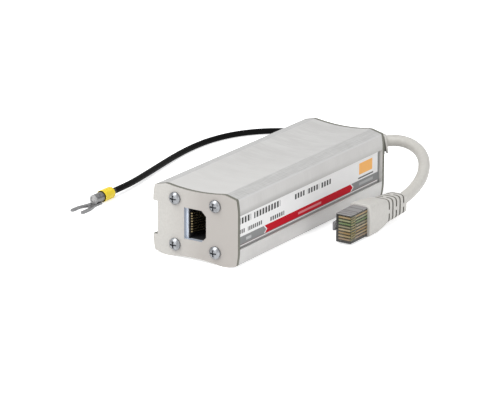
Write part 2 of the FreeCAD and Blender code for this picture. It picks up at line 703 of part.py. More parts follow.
def tube_along(points, radius):
    """A round solid swept along the route through the points."""
    edges, _ = route_edges(points)
    first = V(*points[0])
    heading = V(*points[1]) - first
    profile = Part.Wire(Part.Circle(first, heading, radius).toShape())
    return Part.Wire(edges).makePipeShell([profile], True, False)


def print_route(name, points, diameter, tube):
    """Print a cord's radii and length, and its volume against its section times its length."""
    edges, radii = route_edges(points)
    length = sum(edge.Length for edge in edges)
    expected = math.pi * diameter ** 2 / 4 * length
    print(name, "radii", [round(r, 1) for r in radii], "length", round(length, 1))
    print(name, "volume", round(tube.Volume, 1), "of", round(expected, 1))
    print(name, "lowest", round(tube.BoundBox.ZMin, 2))


def cord_core(start, end):
    """One insulated pair inside the housing, from the jacket's end into the terminal block."""
    jacket_y = PLATE_REAR_Y + CORD_ROUTE[0][1]
    block_y = BLOCK_FRONT_Y + BLOCK_LENGTH
    x, z = start[0], CORD_AXIS_Z + start[1]
    third = (jacket_y - block_y) / 3
    points = [(x, jacket_y, z), (x, jacket_y - third, z), (end, block_y + third, CORD_AXIS_Z),
              (end, block_y - CORE_DEPTH, CORD_AXIS_Z)]
    return tube_along(points, CORE_RADIUS)


def place_along(edges, distance):
    """The point and the heading at a distance along a path of edges."""
    for edge in edges:
        if distance <= edge.Length or edge is edges[-1]:
            parameter = edge.getParameterByLength(min(distance, edge.Length))
            return edge.valueAt(parameter), edge.tangentAt(parameter)
        distance -= edge.Length


def section_wire(place, height, width, corner):
    """A round-cornered rectangle square to the heading, its height upright."""
    centre, heading = place
    across = heading.cross(Z_AXIS).normalize()
    up = across.cross(heading).normalize()
    half_w = width / 2
    half_h = height / 2
    bow = corner * (1 - math.sqrt(0.5))

    def at(a, b):
        return centre + across * a + up * b

    edges = []
    quarter = ((1, 1), (-1, 1), (-1, -1), (1, -1))
    for i, (sx, sz) in enumerate(quarter):
        flat_side = at(sx * half_w, sz * (half_h - corner))
        flat_top = at(sx * (half_w - corner), sz * half_h)
        crown = at(sx * (half_w - bow), sz * (half_h - bow))
        first, last = (flat_side, flat_top) if sx * sz > 0 else (flat_top, flat_side)
        edges.append(Part.Arc(first, crown, last).toShape())
        nx, nz = quarter[(i + 1) % 4]
        following = at(nx * (half_w - corner), nz * half_h)
        if nx == sx:
            following = at(nx * half_w, nz * (half_h - corner))
        edges.append(Part.LineSegment(last, following).toShape())
    return Part.Wire(edges)


def spaced(distances):
    """The distances in order, without those that all but repeat the one before."""
    kept = []
    for distance in sorted(distances):
        if not kept or distance - kept[-1] > CLEAR:
            kept.append(distance)
    return kept


def size_at(sections, distance):
    """Height and width of a tapered relief at a distance from its base."""
    for (d0, h0, w0), (d1, h1, w1) in zip(sections, sections[1:]):
        if distance <= d1:
            share = (distance - d0) / (d1 - d0)
            return h0 + (h1 - h0) * share, w0 + (w1 - w0) * share
    return sections[-1][1:]


def relief_slot(place, size, bridged_sides):
    """A slot round the relief at a place, left bridged on two opposite faces."""
    height, width = size
    drawn = place[1] * RELIEF_SLOT_WIDTH
    start = (place[0] - drawn / 2, place[1])
    ring = Part.Face(section_wire(start, 2 * height, 2 * width, RELIEF_CORNER)).extrude(drawn)
    core_corner = RELIEF_CORNER - RELIEF_SLOT_DEPTH / 2
    core = section_wire(start, height - 2 * RELIEF_SLOT_DEPTH, width - 2 * RELIEF_SLOT_DEPTH, core_corner)
    core = Part.Face(core).extrude(drawn)
    bridge_size = (RELIEF_BRIDGE, 3 * width) if bridged_sides else (3 * height, RELIEF_BRIDGE)
    bridge = Part.Face(section_wire(start, bridge_size[0], bridge_size[1], RELIEF_BRIDGE / 4)).extrude(drawn)
    return ring.cut([core, bridge])


def tapered_relief(place_at, sections, stations, first_slot):
    """A tapered, slotted relief lofted through its sections, each where place_at puts it."""
    wires = [section_wire(place_at(distance), *size_at(sections, distance), RELIEF_CORNER)
             for distance in spaced(stations)]
    body = Part.makeLoft(wires, True, True)
    slots = []
    for i in range(RELIEF_SLOTS):
        distance = first_slot + i * RELIEF_SLOT_PITCH
        slots.append(relief_slot(place_at(distance), size_at(sections, distance), i % 2 == 0))
    return body.cut(slots)


def cord_strain_relief(cord):
    """The relief on the rear plate, one moulding with its neck through the plate and its flange inside."""
    path, _ = route_edges(exit_route(CORD_ROUTE, 0))
    inside = -CORD_ROUTE[0][1]
    length = RELIEF_SECTIONS[-1][0]
    count = round(length / RELIEF_STATION)
    stations = {section[0] for section in RELIEF_SECTIONS}
    stations |= {length * i / count for i in range(1, count)}
    relief = tapered_relief(lambda distance: place_along(path, inside + distance), RELIEF_SECTIONS, stations,
                            RELIEF_FIRST_SLOT)
    neck = neck_prism(NECK_HEIGHT, NECK_WIDTH, REAR_Y - RELIEF_FLANGE, PLATE_REAR_Y + CLEAR)
    height, width = RELIEF_SECTIONS[0][1:]
    flange = neck_prism(height, width, REAR_Y - RELIEF_FLANGE, REAR_Y)
    return relief.fuse([neck, flange]).cut(cord)


def boot_place(distance):
    """The middle of the boot at a distance from its mouth, and the way it points."""
    stations = [section[0] for section in BOOT_SECTIONS]
    rise = BOOT_RISES[-1]
    for d0, d1, r0, r1 in zip(stations, stations[1:], BOOT_RISES, BOOT_RISES[1:]):
        if d0 <= distance <= d1:
            rise = r0 + (r1 - r0) * (distance - d0) / (d1 - d0)
    return V(PLUG_X, BOOT_MOUTH_Y + distance, PLUG_Z + rise), Y_AXIS


def plug_boot(cord):
    """The boot over the plug's rear half, tapered to the cord and notched behind the latch lever."""
    stations = [section[0] for section in BOOT_SECTIONS]
    boot = tapered_relief(boot_place, BOOT_SECTIONS, stations, BOOT_FIRST_SLOT)
    notch_half = LATCH_ROOT_WIDTH / 2 + BOOT_NOTCH_MARGIN
    notch = block(PLUG_X - BOOT_SECTIONS[0][2], PLUG_X - PLUG_HEIGHT / 2, BOOT_MOUTH_Y - 1,
                  BOOT_MOUTH_Y + BOOT_NOTCH_LENGTH, PLUG_Z - notch_half, PLUG_Z + notch_half)
    return boot.cut([plug_outline(CLEAR), notch, cord])


def plug_outline(grow):
    """The plug's body without its details, stepped in at the rear inside the boot, grown all round."""
    waist_y = PLUG_NOSE_Y + PLUG_WAIST_START
    half = PLUG_HEIGHT / 2 + grow
    front = block(PLUG_X - half, PLUG_X + half, PLUG_NOSE_Y - grow, waist_y + grow,
                  PLUG_Z - PLUG_WIDTH / 2 - grow, PLUG_Z + PLUG_WIDTH / 2 + grow)
    waist = block(PLUG_X - half, PLUG_X + half, waist_y - 1, PLUG_REAR_Y + grow,
                  PLUG_Z - PLUG_WAIST_WIDTH / 2 - grow, PLUG_Z + PLUG_WAIST_WIDTH / 2 + grow)
    return front.fuse(waist)


def plug_body(cord):
    """The clear plug: stepped nose, blade slots, a channel for the conductors and a pocket for the jacket."""
    body = plug_outline(0).removeSplitter()
    nose_edges = [edge for edge in body.Edges if edge.BoundBox.YMin < PLUG_NOSE_Y + PLUG_EDGE]
    body = body.makeChamfer(PLUG_EDGE, nose_edges)
    steps = [centred_block((PLUG_X, PLUG_NOSE_Y, PLUG_Z + sign * PLUG_WIDTH / 2),
                           (2 * PLUG_HEIGHT, 2 * PLUG_STEP_LENGTH, 2 * PLUG_STEP)) for sign in (1, -1)]
    conductor_x = PLUG_X + CONDUCTOR_OFFSET
    channel_y = PLUG_NOSE_Y + CONDUCTOR_NOSE_GAP - CLEAR
    channel_half = CONTACT_COUNT * CONTACT_PITCH / 2 + CLEAR
    channel = block(conductor_x - CHANNEL_HALF, conductor_x + CHANNEL_HALF, channel_y, PLUG_REAR_Y - 1,
                    PLUG_Z - channel_half, PLUG_Z + channel_half)
    pocket = centred_block((PLUG_X, PLUG_REAR_Y, PLUG_Z), (POCKET_WIDTH, 2 * POCKET_LENGTH, POCKET_HEIGHT))
    slots = []
    for z in contact_heights(PLUG_Z):
        half = BLADE_THICKNESS / 2 + BLADE_SLOT_CLEAR
        slots.append(block(conductor_x, PLUG_X + PLUG_HEIGHT, PLUG_NOSE_Y + BLADE_SETBACK - BLADE_SLOT_CLEAR,
                           PLUG_NOSE_Y + BLADE_SETBACK + BLADE_LENGTH + BLADE_SLOT_CLEAR, z - half, z + half))
    return body.cut(steps + [channel, pocket, cord] + slots)


def plug_contact(z):
    """One gold blade, standing on its conductor and ending just under the plug's face."""
    x0 = PLUG_X + CONDUCTOR_OFFSET + CONDUCTOR_RADIUS
    x1 = PLUG_X + PLUG_HEIGHT / 2 - BLADE_TOP_GAP
    y0 = PLUG_NOSE_Y + BLADE_SETBACK
    return block(x0, x1, y0, y0 + BLADE_LENGTH, z - BLADE_THICKNESS / 2, z + BLADE_THICKNESS / 2)


def plug_conductor(z):
    """One insulated conductor in the plug's channel."""
    start = (PLUG_X + CONDUCTOR_OFFSET, PLUG_NOSE_Y + CONDUCTOR_NOSE_GAP, z)
    return rod(start, Y_AXIS, CONDUCTOR_RADIUS, CONDUCTOR_LENGTH)


def plug_latch():
    """The latch lever: a bead at its root, a narrow neck, two locking wings and a thumb tail."""
    root = LATCH_ROOT_WIDTH / 2
    wing = LATCH_WING_WIDTH / 2
    x = LATCH_AXIS_X
    y = LATCH_AXIS_Y
    outline = [(0, root), (LATCH_WING_START, root), (LATCH_WING_START, wing), (LATCH_WING_END, wing),
               (LATCH_WING_END + wing - root, root), (LATCH_LENGTH, root)]
    points = outline + [(d, -half) for d, half in reversed(outline)]
    blade = polygon([(x - LATCH_THICKNESS / 2, y + d, PLUG_Z + z) for d, z in points])
    blade = blade.extrude(V(LATCH_THICKNESS, 0, 0))
    blade.rotate(V(x, y, PLUG_Z), Z_AXIS, LATCH_ANGLE)
    bead = rod((x, y, PLUG_Z - root), Z_AXIS, LATCH_BEAD_RADIUS, LATCH_ROOT_WIDTH)
    return blade.fuse(bead).removeSplitter()


def ground_wire_grommet(wire):
    """The bush in the rear plate: a flange on each side of it and a tapered nose round the wire."""
    half = PLATE_THICKNESS / 2
    inner = -half - BUSH_INNER_FLANGE
    outer = half + BUSH_FLANGE
    outline = [(0, inner), (BUSH_FLANGE_RADIUS, inner), (BUSH_FLANGE_RADIUS, -half),
               (BUSH_NECK_RADIUS - CLEAR / 2, -half), (BUSH_NECK_RADIUS - CLEAR / 2, half),
               (BUSH_FLANGE_RADIUS, half), (BUSH_FLANGE_RADIUS, outer), (BUSH_NECK_RADIUS + CLEAR, outer),
               (BUSH_NOSE_RADIUS, outer + BUSH_NOSE_LENGTH), (0, outer + BUSH_NOSE_LENGTH)]
    bush = polygon([(r, y, 0) for r, y in outline]).revolve(V(0, 0, 0), Y_AXIS, 360)
    bush.translate(V(WIRE_X, REAR_Y + half, CORD_AXIS_Z))
    return bush.cut(wire)


def earth_block():
    """The brass clamp block on the main board, bored for the ground wire and tapped from above."""
    half = EARTH_WIDTH / 2
    body = block(WIRE_X - half, WIRE_X + half, EARTH_FRONT_Y, EARTH_FRONT_Y + EARTH_LENGTH,
                 BOARD_TOP, BOARD_TOP + EARTH_HEIGHT)
    wire_y = PLATE_REAR_Y + WIRE_ROUTE[0][1]
    bore = rod((WIRE_X, wire_y - 1, CORD_AXIS_Z), Y_AXIS, WIRE_DIAMETER / 2 + CLEAR, EARTH_LENGTH)
    return body.cut(bore)


def earth_clamp_screw():
    """The slotted head of the clamp screw, seated on the block."""
    top = BOARD_TOP + EARTH_HEIGHT
    y = EARTH_FRONT_Y + EARTH_LENGTH / 2
    head = rod((WIRE_X, y, top), Z_AXIS, EARTH_SCREW_RADIUS, EARTH_SCREW_HEIGHT)
    slot = centred_block((WIRE_X, y, top + EARTH_SCREW_HEIGHT),
                         (4 * EARTH_SCREW_RADIUS, SCREW_RECESS_WIDTH, EARTH_SCREW_HEIGHT))
    return head.cut(slot)


def terminal_sleeve():
    """The yellow collar, slightly faceted by crimping, over the wire and the barrel's rear."""
    front = SLEEVE_REAR_Y - SLEEVE_LENGTH
    corners = []
    for i in range(SLEEVE_FACETS):
        angle = 2 * math.pi * (i + 0.5) / SLEEVE_FACETS
        reach = SLEEVE_RADIUS / math.cos(math.pi / SLEEVE_FACETS)
        corners.append((TERMINAL_X + reach * math.cos(angle), front, SLEEVE_RADIUS + reach * math.sin(angle)))
    collar = polygon(corners).extrude(V(0, SLEEVE_LENGTH, 0))
    wire_seat = WIRE_END_Y - 2 * CLEAR
    core_bore = rod((TERMINAL_X, front, SLEEVE_RADIUS), Y_AXIS, CORE_END_RADIUS + CLEAR / 2, SLEEVE_LENGTH)
    wire_radius = WIRE_DIAMETER / 2 + 1.5 * CLEAR
    wire_bore = rod((TERMINAL_X, wire_seat, SLEEVE_RADIUS), Y_AXIS, wire_radius, SLEEVE_LENGTH)
    barrel_bore = rod((TERMINAL_X, front - 1, SLEEVE_RADIUS), Y_AXIS, BARREL_NECK_RADIUS + CLEAR / 2,
                      BARREL_SEAT + 1 + CLEAR)
    mouth = rod((TERMINAL_X, front - 1, SLEEVE_RADIUS), Y_AXIS, SLEEVE_MOUTH_RADIUS, SLEEVE_MOUTH_DEPTH + 1)
    return collar.cut([core_bore, wire_bore, barrel_bore, mouth])


def barrel_front_y():
    """Where the barrel ends and the fork begins."""
    return SLEEVE_REAR_Y - SLEEVE_LENGTH - BARREL_GAP - BARREL_LENGTH


def fork_blade():
    """The flat fork: a root under the barrel that opens into two splayed tines of even width."""
    front = barrel_front_y()
    half_root = FORK_ROOT_WIDTH / 2
    vertex_y = front - FORK_VERTEX
    tip_y = front - FORK_LENGTH
    outer = FORK_WIDTH / 2
    inner = outer - FORK_TINE_WIDTH
    pieces = [block(TERMINAL_X - half_root, TERMINAL_X + half_root, front - 1, front + BARREL_LENGTH / 2,
                    0, BLADE_SHEET)]
    for sign in (1, -1):
        outline = [(0, front - 1), (0, vertex_y), (inner, vertex_y - FORK_SPLAY * inner), (inner, tip_y),
                   (outer, tip_y), (outer, vertex_y - FORK_SPLAY * inner), (half_root, front - 1)]
        tine = polygon([(TERMINAL_X + sign * x, y, 0) for x, y in outline]).extrude(V(0, 0, BLADE_SHEET))
        corners = [edge for x in (inner, outer) for edge in edges_at(tine, TERMINAL_X + sign * x, tip_y)]
        pieces.append(tine.makeFillet(FORK_TIP_RADIUS, corners))
    blade = pieces[0].fuse(pieces[1:]).removeSplitter()
    return blade.makeFillet(FORK_CROTCH_RADIUS, edges_at(blade, TERMINAL_X, vertex_y))


def edges_at(shape, x, y, tolerance=0.05):
    """The upright edges through one place in plan."""
    return [e for e in shape.Edges if math.hypot(e.CenterOfMass.x - x, e.CenterOfMass.y - y) < tolerance
            and abs(e.Vertexes[0].Z - e.Vertexes[-1].Z) > tolerance]


def fork_terminal():
    """The metal terminal: a rolled barrel, its neck inside the collar, and the flat fork."""
    front = barrel_front_y()
    axis_z = SLEEVE_RADIUS
    length = BARREL_LENGTH + BARREL_GAP + BARREL_SEAT
    barrel = rod((TERMINAL_X, front, axis_z), Y_AXIS, BARREL_RADIUS, BARREL_LENGTH)
    neck = rod((TERMINAL_X, front, axis_z), Y_AXIS, BARREL_NECK_RADIUS, length)
    bore = rod((TERMINAL_X, front - 1, axis_z), Y_AXIS, CORE_END_RADIUS + CLEAR / 2, length + 2)
    foot = block(TERMINAL_X - FORK_ROOT_WIDTH / 4, TERMINAL_X + FORK_ROOT_WIDTH / 4, front,
                 front + BARREL_LENGTH / 2, BLADE_SHEET / 2, axis_z - BARREL_RADIUS + BARREL_WALL)
    return fork_blade().fuse([foot, barrel, neck]).cut(bore)


def terminal_core(wire):
    """The wire's stripped conductor inside the barrel."""
    front = barrel_front_y() + CORE_END_RECESS
    end = WIRE_END_Y + CLEAR
    return rod((TERMINAL_X, front, SLEEVE_RADIUS), Y_AXIS, CORE_END_RADIUS, end - front).cut(wire)


def all_nodes():
    """Every sub-part by name."""
    cord_points = exit_route(CORD_ROUTE, 0)
    wire_points = exit_route(WIRE_ROUTE, WIRE_X)
    cord = tube_along(cord_points, CORD_DIAMETER / 2)
    wire = tube_along(wire_points, WIRE_DIAMETER / 2)
    print_route("patch_cord", cord_points, CORD_DIAMETER, cord)
    print_route("ground_wire", wire_points, WIRE_DIAMETER, wire)
    nodes = {
        "housing_extrusion": housing_extrusion(),
        "front_plate": front_plate(),
        "rear_plate": rear_plate(),
        "front_screws": plate_screws(-1),
        "rear_screws": plate_screws(1),
        "label_strip": label_strip(),
        "jack_shell": jack_shell(),
        "jack_insulator": jack_insulator(),
        "jack_board": jack_board(),
        "board_link_header": board_link_header(),
        "main_board": main_board(),
        "cord_terminal_block": cord_terminal_block(),
        "earth_block": earth_block(),
        "earth_clamp_screw": earth_clamp_screw(),
        "patch_cord": cord,
        "cord_strain_relief": cord_strain_relief(cord),
        "plug_boot": plug_boot(cord),
        "plug_body": plug_body(cord),
        "plug_latch": plug_latch(),
        "ground_wire": wire,
        "ground_wire_grommet": ground_wire_grommet(wire),
        "terminal_sleeve": terminal_sleeve(),
        "fork_terminal": fork_terminal(),
        "terminal_core": terminal_core(wire),
    }
    for i, (jack_z, plug_z) in enumerate(zip(contact_heights(MID_Z), contact_heights(PLUG_Z)), 1):
        nodes[f"jack_contact_{i}"] = jack_contact(jack_z)
        nodes[f"plug_contact_{i}"] = plug_contact(plug_z)
        nodes[f"plug_conductor_{i}"] = plug_conductor(plug_z)
    rows = [SHELL_REAR_Y + row for row in TUBE_ROWS]
    tube_places = [(x, y) for y in rows for x in (-TUBE_COLUMN_X, TUBE_COLUMN_X)]
    for i, (x, y) in enumerate(tube_places, 1):
        nodes[f"gas_discharge_tube_{i}"] = gas_discharge_tube(x, y)
    for i, x in enumerate((-PART_SPACING, PART_SPACING), 1):
        nodes[f"suppressor_diode_{i}"] = suppressor_diode(x)
        nodes[f"decoupling_resistor_{i}"] = decoupling_resistor(x)
    for i, (start, end) in enumerate(core_places(), 1):
        nodes[f"cord_core_{i}"] = cord_core(start, end)
    return nodes


os.makedirs("parts", exist_ok=True)
for name, shape in all_nodes().items():
    if not shape.isValid():
        print("not valid:", name)
    shape.exportStep(f"parts/{name}.step")
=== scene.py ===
import math

import bmesh
import bpy
import numpy as np
from mathutils import Matrix, Vector


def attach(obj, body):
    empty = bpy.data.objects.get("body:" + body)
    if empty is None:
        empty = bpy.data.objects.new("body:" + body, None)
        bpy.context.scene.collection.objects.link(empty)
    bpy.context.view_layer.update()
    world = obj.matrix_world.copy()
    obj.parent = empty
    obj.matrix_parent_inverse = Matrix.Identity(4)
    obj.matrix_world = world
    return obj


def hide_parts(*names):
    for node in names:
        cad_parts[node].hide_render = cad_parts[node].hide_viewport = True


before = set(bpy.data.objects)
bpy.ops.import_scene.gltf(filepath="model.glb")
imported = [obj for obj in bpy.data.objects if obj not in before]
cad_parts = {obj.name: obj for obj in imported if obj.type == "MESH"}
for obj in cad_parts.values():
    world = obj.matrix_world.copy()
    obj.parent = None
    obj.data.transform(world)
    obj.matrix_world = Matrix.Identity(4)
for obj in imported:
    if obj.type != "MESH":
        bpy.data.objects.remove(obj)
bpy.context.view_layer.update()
MM = 0.001

# Camera: the photograph's view, solved from the housing's edges. The azimuth turns from the front plate towards
# the side with the label, and the focal length is in pixels of the photograph's frame.
azimuth = math.radians(33.191)
elevation = math.radians(17.793)
roll = math.radians(0.2162)
camera_place = (0.58843, -0.91496, 0.35892)
focal_pixels = 2963.35
frame_pixels = 500
sensor_width = 36
back = Vector((math.sin(azimuth) * math.cos(elevation), -math.cos(azimuth) * math.cos(elevation),
               math.sin(elevation)))
level = Vector((math.cos(azimuth), math.sin(azimuth), 0))
right = level * math.cos(roll) + back.cross(level) * math.sin(roll)
upward = back.cross(right)
lens = bpy.data.cameras.new("photo_camera")
lens.sensor_fit = "HORIZONTAL"
lens.sensor_width = sensor_width
lens.lens = sensor_width * focal_pixels / frame_pixels
lens.clip_end = 20
camera = bpy.data.objects.new("photo_camera", lens)
bpy.context.scene.collection.objects.link(camera)
camera.matrix_world = Matrix.Translation(camera_place) @ Matrix((right, upward, back)).transposed().to_4x4()
bpy.context.scene.camera = camera
bpy.context.scene.view_settings.view_transform = "Standard"


# Floor and light: a white sweep under soft studio light. The surroundings are plain white to the camera and in
# reflections, and a weaker light for everything else.
def new_material(name, color, roughness, metallic=0.0, specular=0.5):
    """A Principled material with constants on its sockets, its node tree and its shader."""
    made = bpy.data.materials.new(name)
    made.use_nodes = True
    tree = made.node_tree
    shader = tree.nodes["Principled BSDF"]
    shader.inputs["Base Color"].default_value = (*color, 1)
    shader.inputs["Roughness"].default_value = roughness
    shader.inputs["Metallic"].default_value = metallic
    shader.inputs["Specular IOR Level"].default_value = specular
    return made, tree, shader


def link(tree, a, b):
    """Joins an output socket to an input socket."""
    tree.links.new(a, b)


def math_node(tree, operation, a, b=None):
    """A Math node of one or two inputs, each a number or a socket."""
    node = tree.nodes.new("ShaderNodeMath")
    node.operation = operation
    for socket, value in zip(node.inputs, (a, b)):
        if value is None:
            continue
        if isinstance(value, (int, float)):
            socket.default_value = value
        else:
            link(tree, value, socket)
    return node.outputs[0]


def both(tree, a, b):
    """The product of two values: of two masks, where both are 1."""
    return math_node(tree, "MULTIPLY", a, b)


def either(tree, a, b):
    """The larger of two values: of two masks, where one of them is 1."""
    return math_node(tree, "MAXIMUM", a, b)


def finds_background(tree):
    """1 for the rays that find the plain white background: the camera's, and those that metal or glass sends on."""
    ray = tree.nodes.new("ShaderNodeLightPath")
    sent_on = either(tree, ray.outputs["Is Glossy Ray"], ray.outputs["Is Transmission Ray"])
    return either(tree, ray.outputs["Is Camera Ray"], sent_on)


floor_reach = 3
floor_glow = 0.6
corners = [(x * floor_reach, y * floor_reach, 0) for x, y in ((-1, -1), (1, -1), (1, 1), (-1, 1))]
floor_mesh = bpy.data.meshes.new("floor")
floor_mesh.from_pydata(corners, [], [(0, 1, 2, 3)])
floor = bpy.data.objects.new("floor", floor_mesh)
bpy.context.scene.collection.objects.link(floor)
floor_white, tree, shader = new_material("floor_white", (0.90, 0.90, 0.90), 0.9, specular=0.0)
shader.inputs["Emission Color"].default_value = (1, 1, 1, 1)
link(tree, both(tree, finds_background(tree), floor_glow), shader.inputs["Emission Strength"])
floor_mesh.materials.append(floor_white)

world = bpy.data.worlds.new("studio")
bpy.context.scene.world = world
world.use_nodes = True
sky = world.node_tree
ambient = sky.nodes["Background"]
ambient.inputs["Color"].default_value = (0.97, 0.98, 1.0, 1)
ambient.inputs["Strength"].default_value = 0.55
seen = sky.nodes.new("ShaderNodeBackground")
seen.inputs["Color"].default_value = (1, 1, 1, 1)
seen.inputs["Strength"].default_value = 1.0
choose = sky.nodes.new("ShaderNodeMixShader")
link(sky, finds_background(sky), choose.inputs["Fac"])
link(sky, ambient.outputs["Background"], choose.inputs[1])
link(sky, seen.outputs["Background"], choose.inputs[2])
link(sky, choose.outputs["Shader"], sky.nodes["World Output"].inputs["Surface"])


def soft_light(name, place, target, size, power):
    """A square area light aimed at a point."""
    data = bpy.data.lights.new(name, "AREA")
    data.size = size
    data.energy = power
    lamp = bpy.data.objects.new(name, data)
    bpy.context.scene.collection.objects.link(lamp)
    lamp.location = place
    lamp.rotation_euler = (Vector(target) - Vector(place)).to_track_quat("-Z", "Y").to_euler()


soft_light("key", (-0.2, -0.5, 0.72), (0, 0, 0), 0.6, 5.6)
soft_light("front_fill", (0.15, -1.0, 0.35), (0, 0, 0.01), 0.6, 1.2)
soft_light("side_fill", (0.95, -0.15, 0.35), (0, 0, 0.01), 0.6, 3.6)


# Patch cord: a round beige jacket over thin twisted cores, held by the relief at the rear plate and by the boot at
# the plug. Each point is across from the exit, back from the rear plate's outer face, and above the ground.
rear_face = 52.5
patch_diameter = 4.7
patch_exit = 0.0
patch_route = [
    (0.0, -4.5, 14.0), (0.0, 3.7, 14.0), (0.25, 11.9, 14.15), (1.4, 17.4, 14.6), (4.0, 21.8, 15.4),
    (8.8, 25.0, 16.3), (14.4, 25.7, 16.1), (19.9, 23.9, 15.1), (24.5, 20.5, 13.8), (28.1, 16.0, 12.3),
    (30.8, 11.0, 10.9), (32.9, 5.6, 9.5), (34.2, 0.0, 8.3), (35.1, -6.5, 7.1), (35.7, -16.0, 6.0),
    (35.95, -27.0, 5.9), (35.95, -37.5, 6.5)]


def nurbs_cord(name, points, across, diameter):
    """A round cord on one smooth quadratic NURBS, its control points counted from where it leaves the rear plate."""
    data = bpy.data.curves.new(name, "CURVE")
    data.dimensions = "3D"
    spline = data.splines.new("NURBS")
    spline.points.add(len(points) - 1)
    for point, (x, y, z) in zip(spline.points, points):
        point.co = ((across + x) * MM, (rear_face + y) * MM, z * MM, 1)
    spline.order_u = 3
    spline.use_endpoint_u = True
    spline.resolution_u = 10
    data.bevel_depth = diameter * MM / 2
    data.bevel_resolution = 8
    data.use_fill_caps = True
    cord = bpy.data.objects.new(name, data)
    bpy.context.scene.collection.objects.link(cord)
    return cord


def object_place(tree, stretch=(1, 1, 1)):
    """Object coordinates, stretched along each axis."""
    place = tree.nodes.new("ShaderNodeTexCoord")
    mapping = tree.nodes.new("ShaderNodeMapping")
    mapping.inputs["Scale"].default_value = stretch
    link(tree, place.outputs["Object"], mapping.inputs["Vector"])
    return mapping.outputs["Vector"]


def grain(tree, scale, detail=3.0, rough=0.5, stretch=(1, 1, 1)):
    """A noise texture over the piece, drawn out along an axis whose stretch is small."""
    node = tree.nodes.new("ShaderNodeTexNoise")
    node.inputs["Scale"].default_value = scale
    node.inputs["Detail"].default_value = detail
    node.inputs["Roughness"].default_value = rough
    link(tree, object_place(tree, stretch), node.inputs["Vector"])
    return node.outputs["Fac"]


def remap(tree, value, low, high, to_low=0, to_high=1):
    """A value moved from one range to another, held at its ends."""
    node = tree.nodes.new("ShaderNodeMapRange")
    for label, number in (("From Min", low), ("From Max", high), ("To Min", to_low), ("To Max", to_high)):
        node.inputs[label].default_value = number
    link(tree, value, node.inputs["Value"])
    return node.outputs["Result"]


def blend(tree, factor, dark, light, kind="MIX"):
    """A colour between two colours or colour sockets, by a factor that is a number or a socket."""
    node = tree.nodes.new("ShaderNodeMix")
    node.data_type = "RGBA"
    node.blend_type = kind
    if isinstance(factor, (int, float)):
        node.inputs["Factor"].default_value = factor
    else:
        link(tree, factor, node.inputs["Factor"])
    for label, color in (("A", dark), ("B", light)):
        socket = [i for i in node.inputs if i.name == label and i.type == "RGBA"][0]
        if isinstance(color, tuple):
            socket.default_value = (*color, 1)
        else:
            link(tree, color, socket)
    return [o for o in node.outputs if o.type == "RGBA"][0]


def ramped(tree, value, dark, light, low=0.35, high=0.65):
    """A colour that goes from dark to light as a value, a grain or a place, goes from low to high."""
    return blend(tree, remap(tree, value, low, high), dark, light)


def paint_with(tree, shader, color):
    """Gives the shader its colour from a socket."""
    link(tree, color, shader.inputs["Base Color"])


def bump(tree, shader, height, strength, distance):
    """A bump from a height value, its distance in metres."""
    node = tree.nodes.new("ShaderNodeBump")
    node.inputs["Strength"].default_value = strength
    node.inputs["Distance"].default_value = distance
    link(tree, height, node.inputs["Height"])
    link(tree, node.outputs["Normal"], shader.inputs["Normal"])


patch_cord = nurbs_cord("patch_cord_jacket", patch_route, patch_exit, patch_diameter)
jacket, tree, shader = new_material("cord_jacket", (0.50, 0.485, 0.45), 0.45)
matt = grain(tree, 900, 4)
paint_with(tree, shader, ramped(tree, matt, (0.485, 0.47, 0.435), (0.52, 0.505, 0.47)))
bump(tree, shader, matt, 0.15, 0.0002)
patch_cord.data.materials.append(jacket)
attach(patch_cord, "protector")
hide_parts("patch_cord")


# Strain relief at the rear plate: a soft beige moulding that tapers with the cord, ringed by five slots. Its neck
# passes through the plate to a flange inside, and it hangs a little below the cord at its free end.
def spine(cord):
    """A cord's middle line, read from its own spline with the round section left off."""
    bare = cord.copy()
    bare.data = cord.data.copy()
    bare.data.bevel_depth = 0
    line = bpy.data.meshes.new_from_object(bare)
    places = np.empty(3 * len(line.vertices))
    line.vertices.foreach_get("co", places)
    bpy.data.objects.remove(bare)
    return places.reshape(-1, 3)


def along_line(line, start_y, distances):
    """Points and directions on a line, at distances in metres past the place where it first passes start_y.

    The line's running length is found by adding its pieces, and each coordinate is interpolated over it. A
    direction is taken from a little behind each point to a little ahead of it."""
    run = np.concatenate([[0], np.cumsum(np.linalg.norm(np.diff(line, axis=0), axis=1))])
    first = np.interp(start_y, line[:6, 1], run[:6])
    little = 0.6 * MM
    behind, points, ahead = [
        np.stack([np.interp(first + distances + shift, run, line[:, i]) for i in range(3)], axis=1)
        for shift in (-little, 0, little)]
    heading = ahead - behind
    return points, heading / np.linalg.norm(heading, axis=1, keepdims=True)


def rounded_outline(count, power):
    """A rounded square of half-width 1: at each angle its point lies (|cos|^n + |sin|^n)^(-1/n) from the middle."""
    turn = np.linspace(0, 2 * np.pi, count, endpoint=False)
    reach = (np.abs(np.cos(turn)) ** power + np.abs(np.sin(turn)) ** power) ** (-1 / power)
    return reach * np.cos(turn), reach * np.sin(turn)


def end_rounding(from_end, length, depth):
    """How far a rounded end draws in: depth * (1 - sqrt(1 - t^2)), where t falls from 1 at the end to 0 at length."""
    t = np.clip(1 - from_end / length, 0, 1)
    return depth * (1 - np.sqrt(1 - t ** 2))


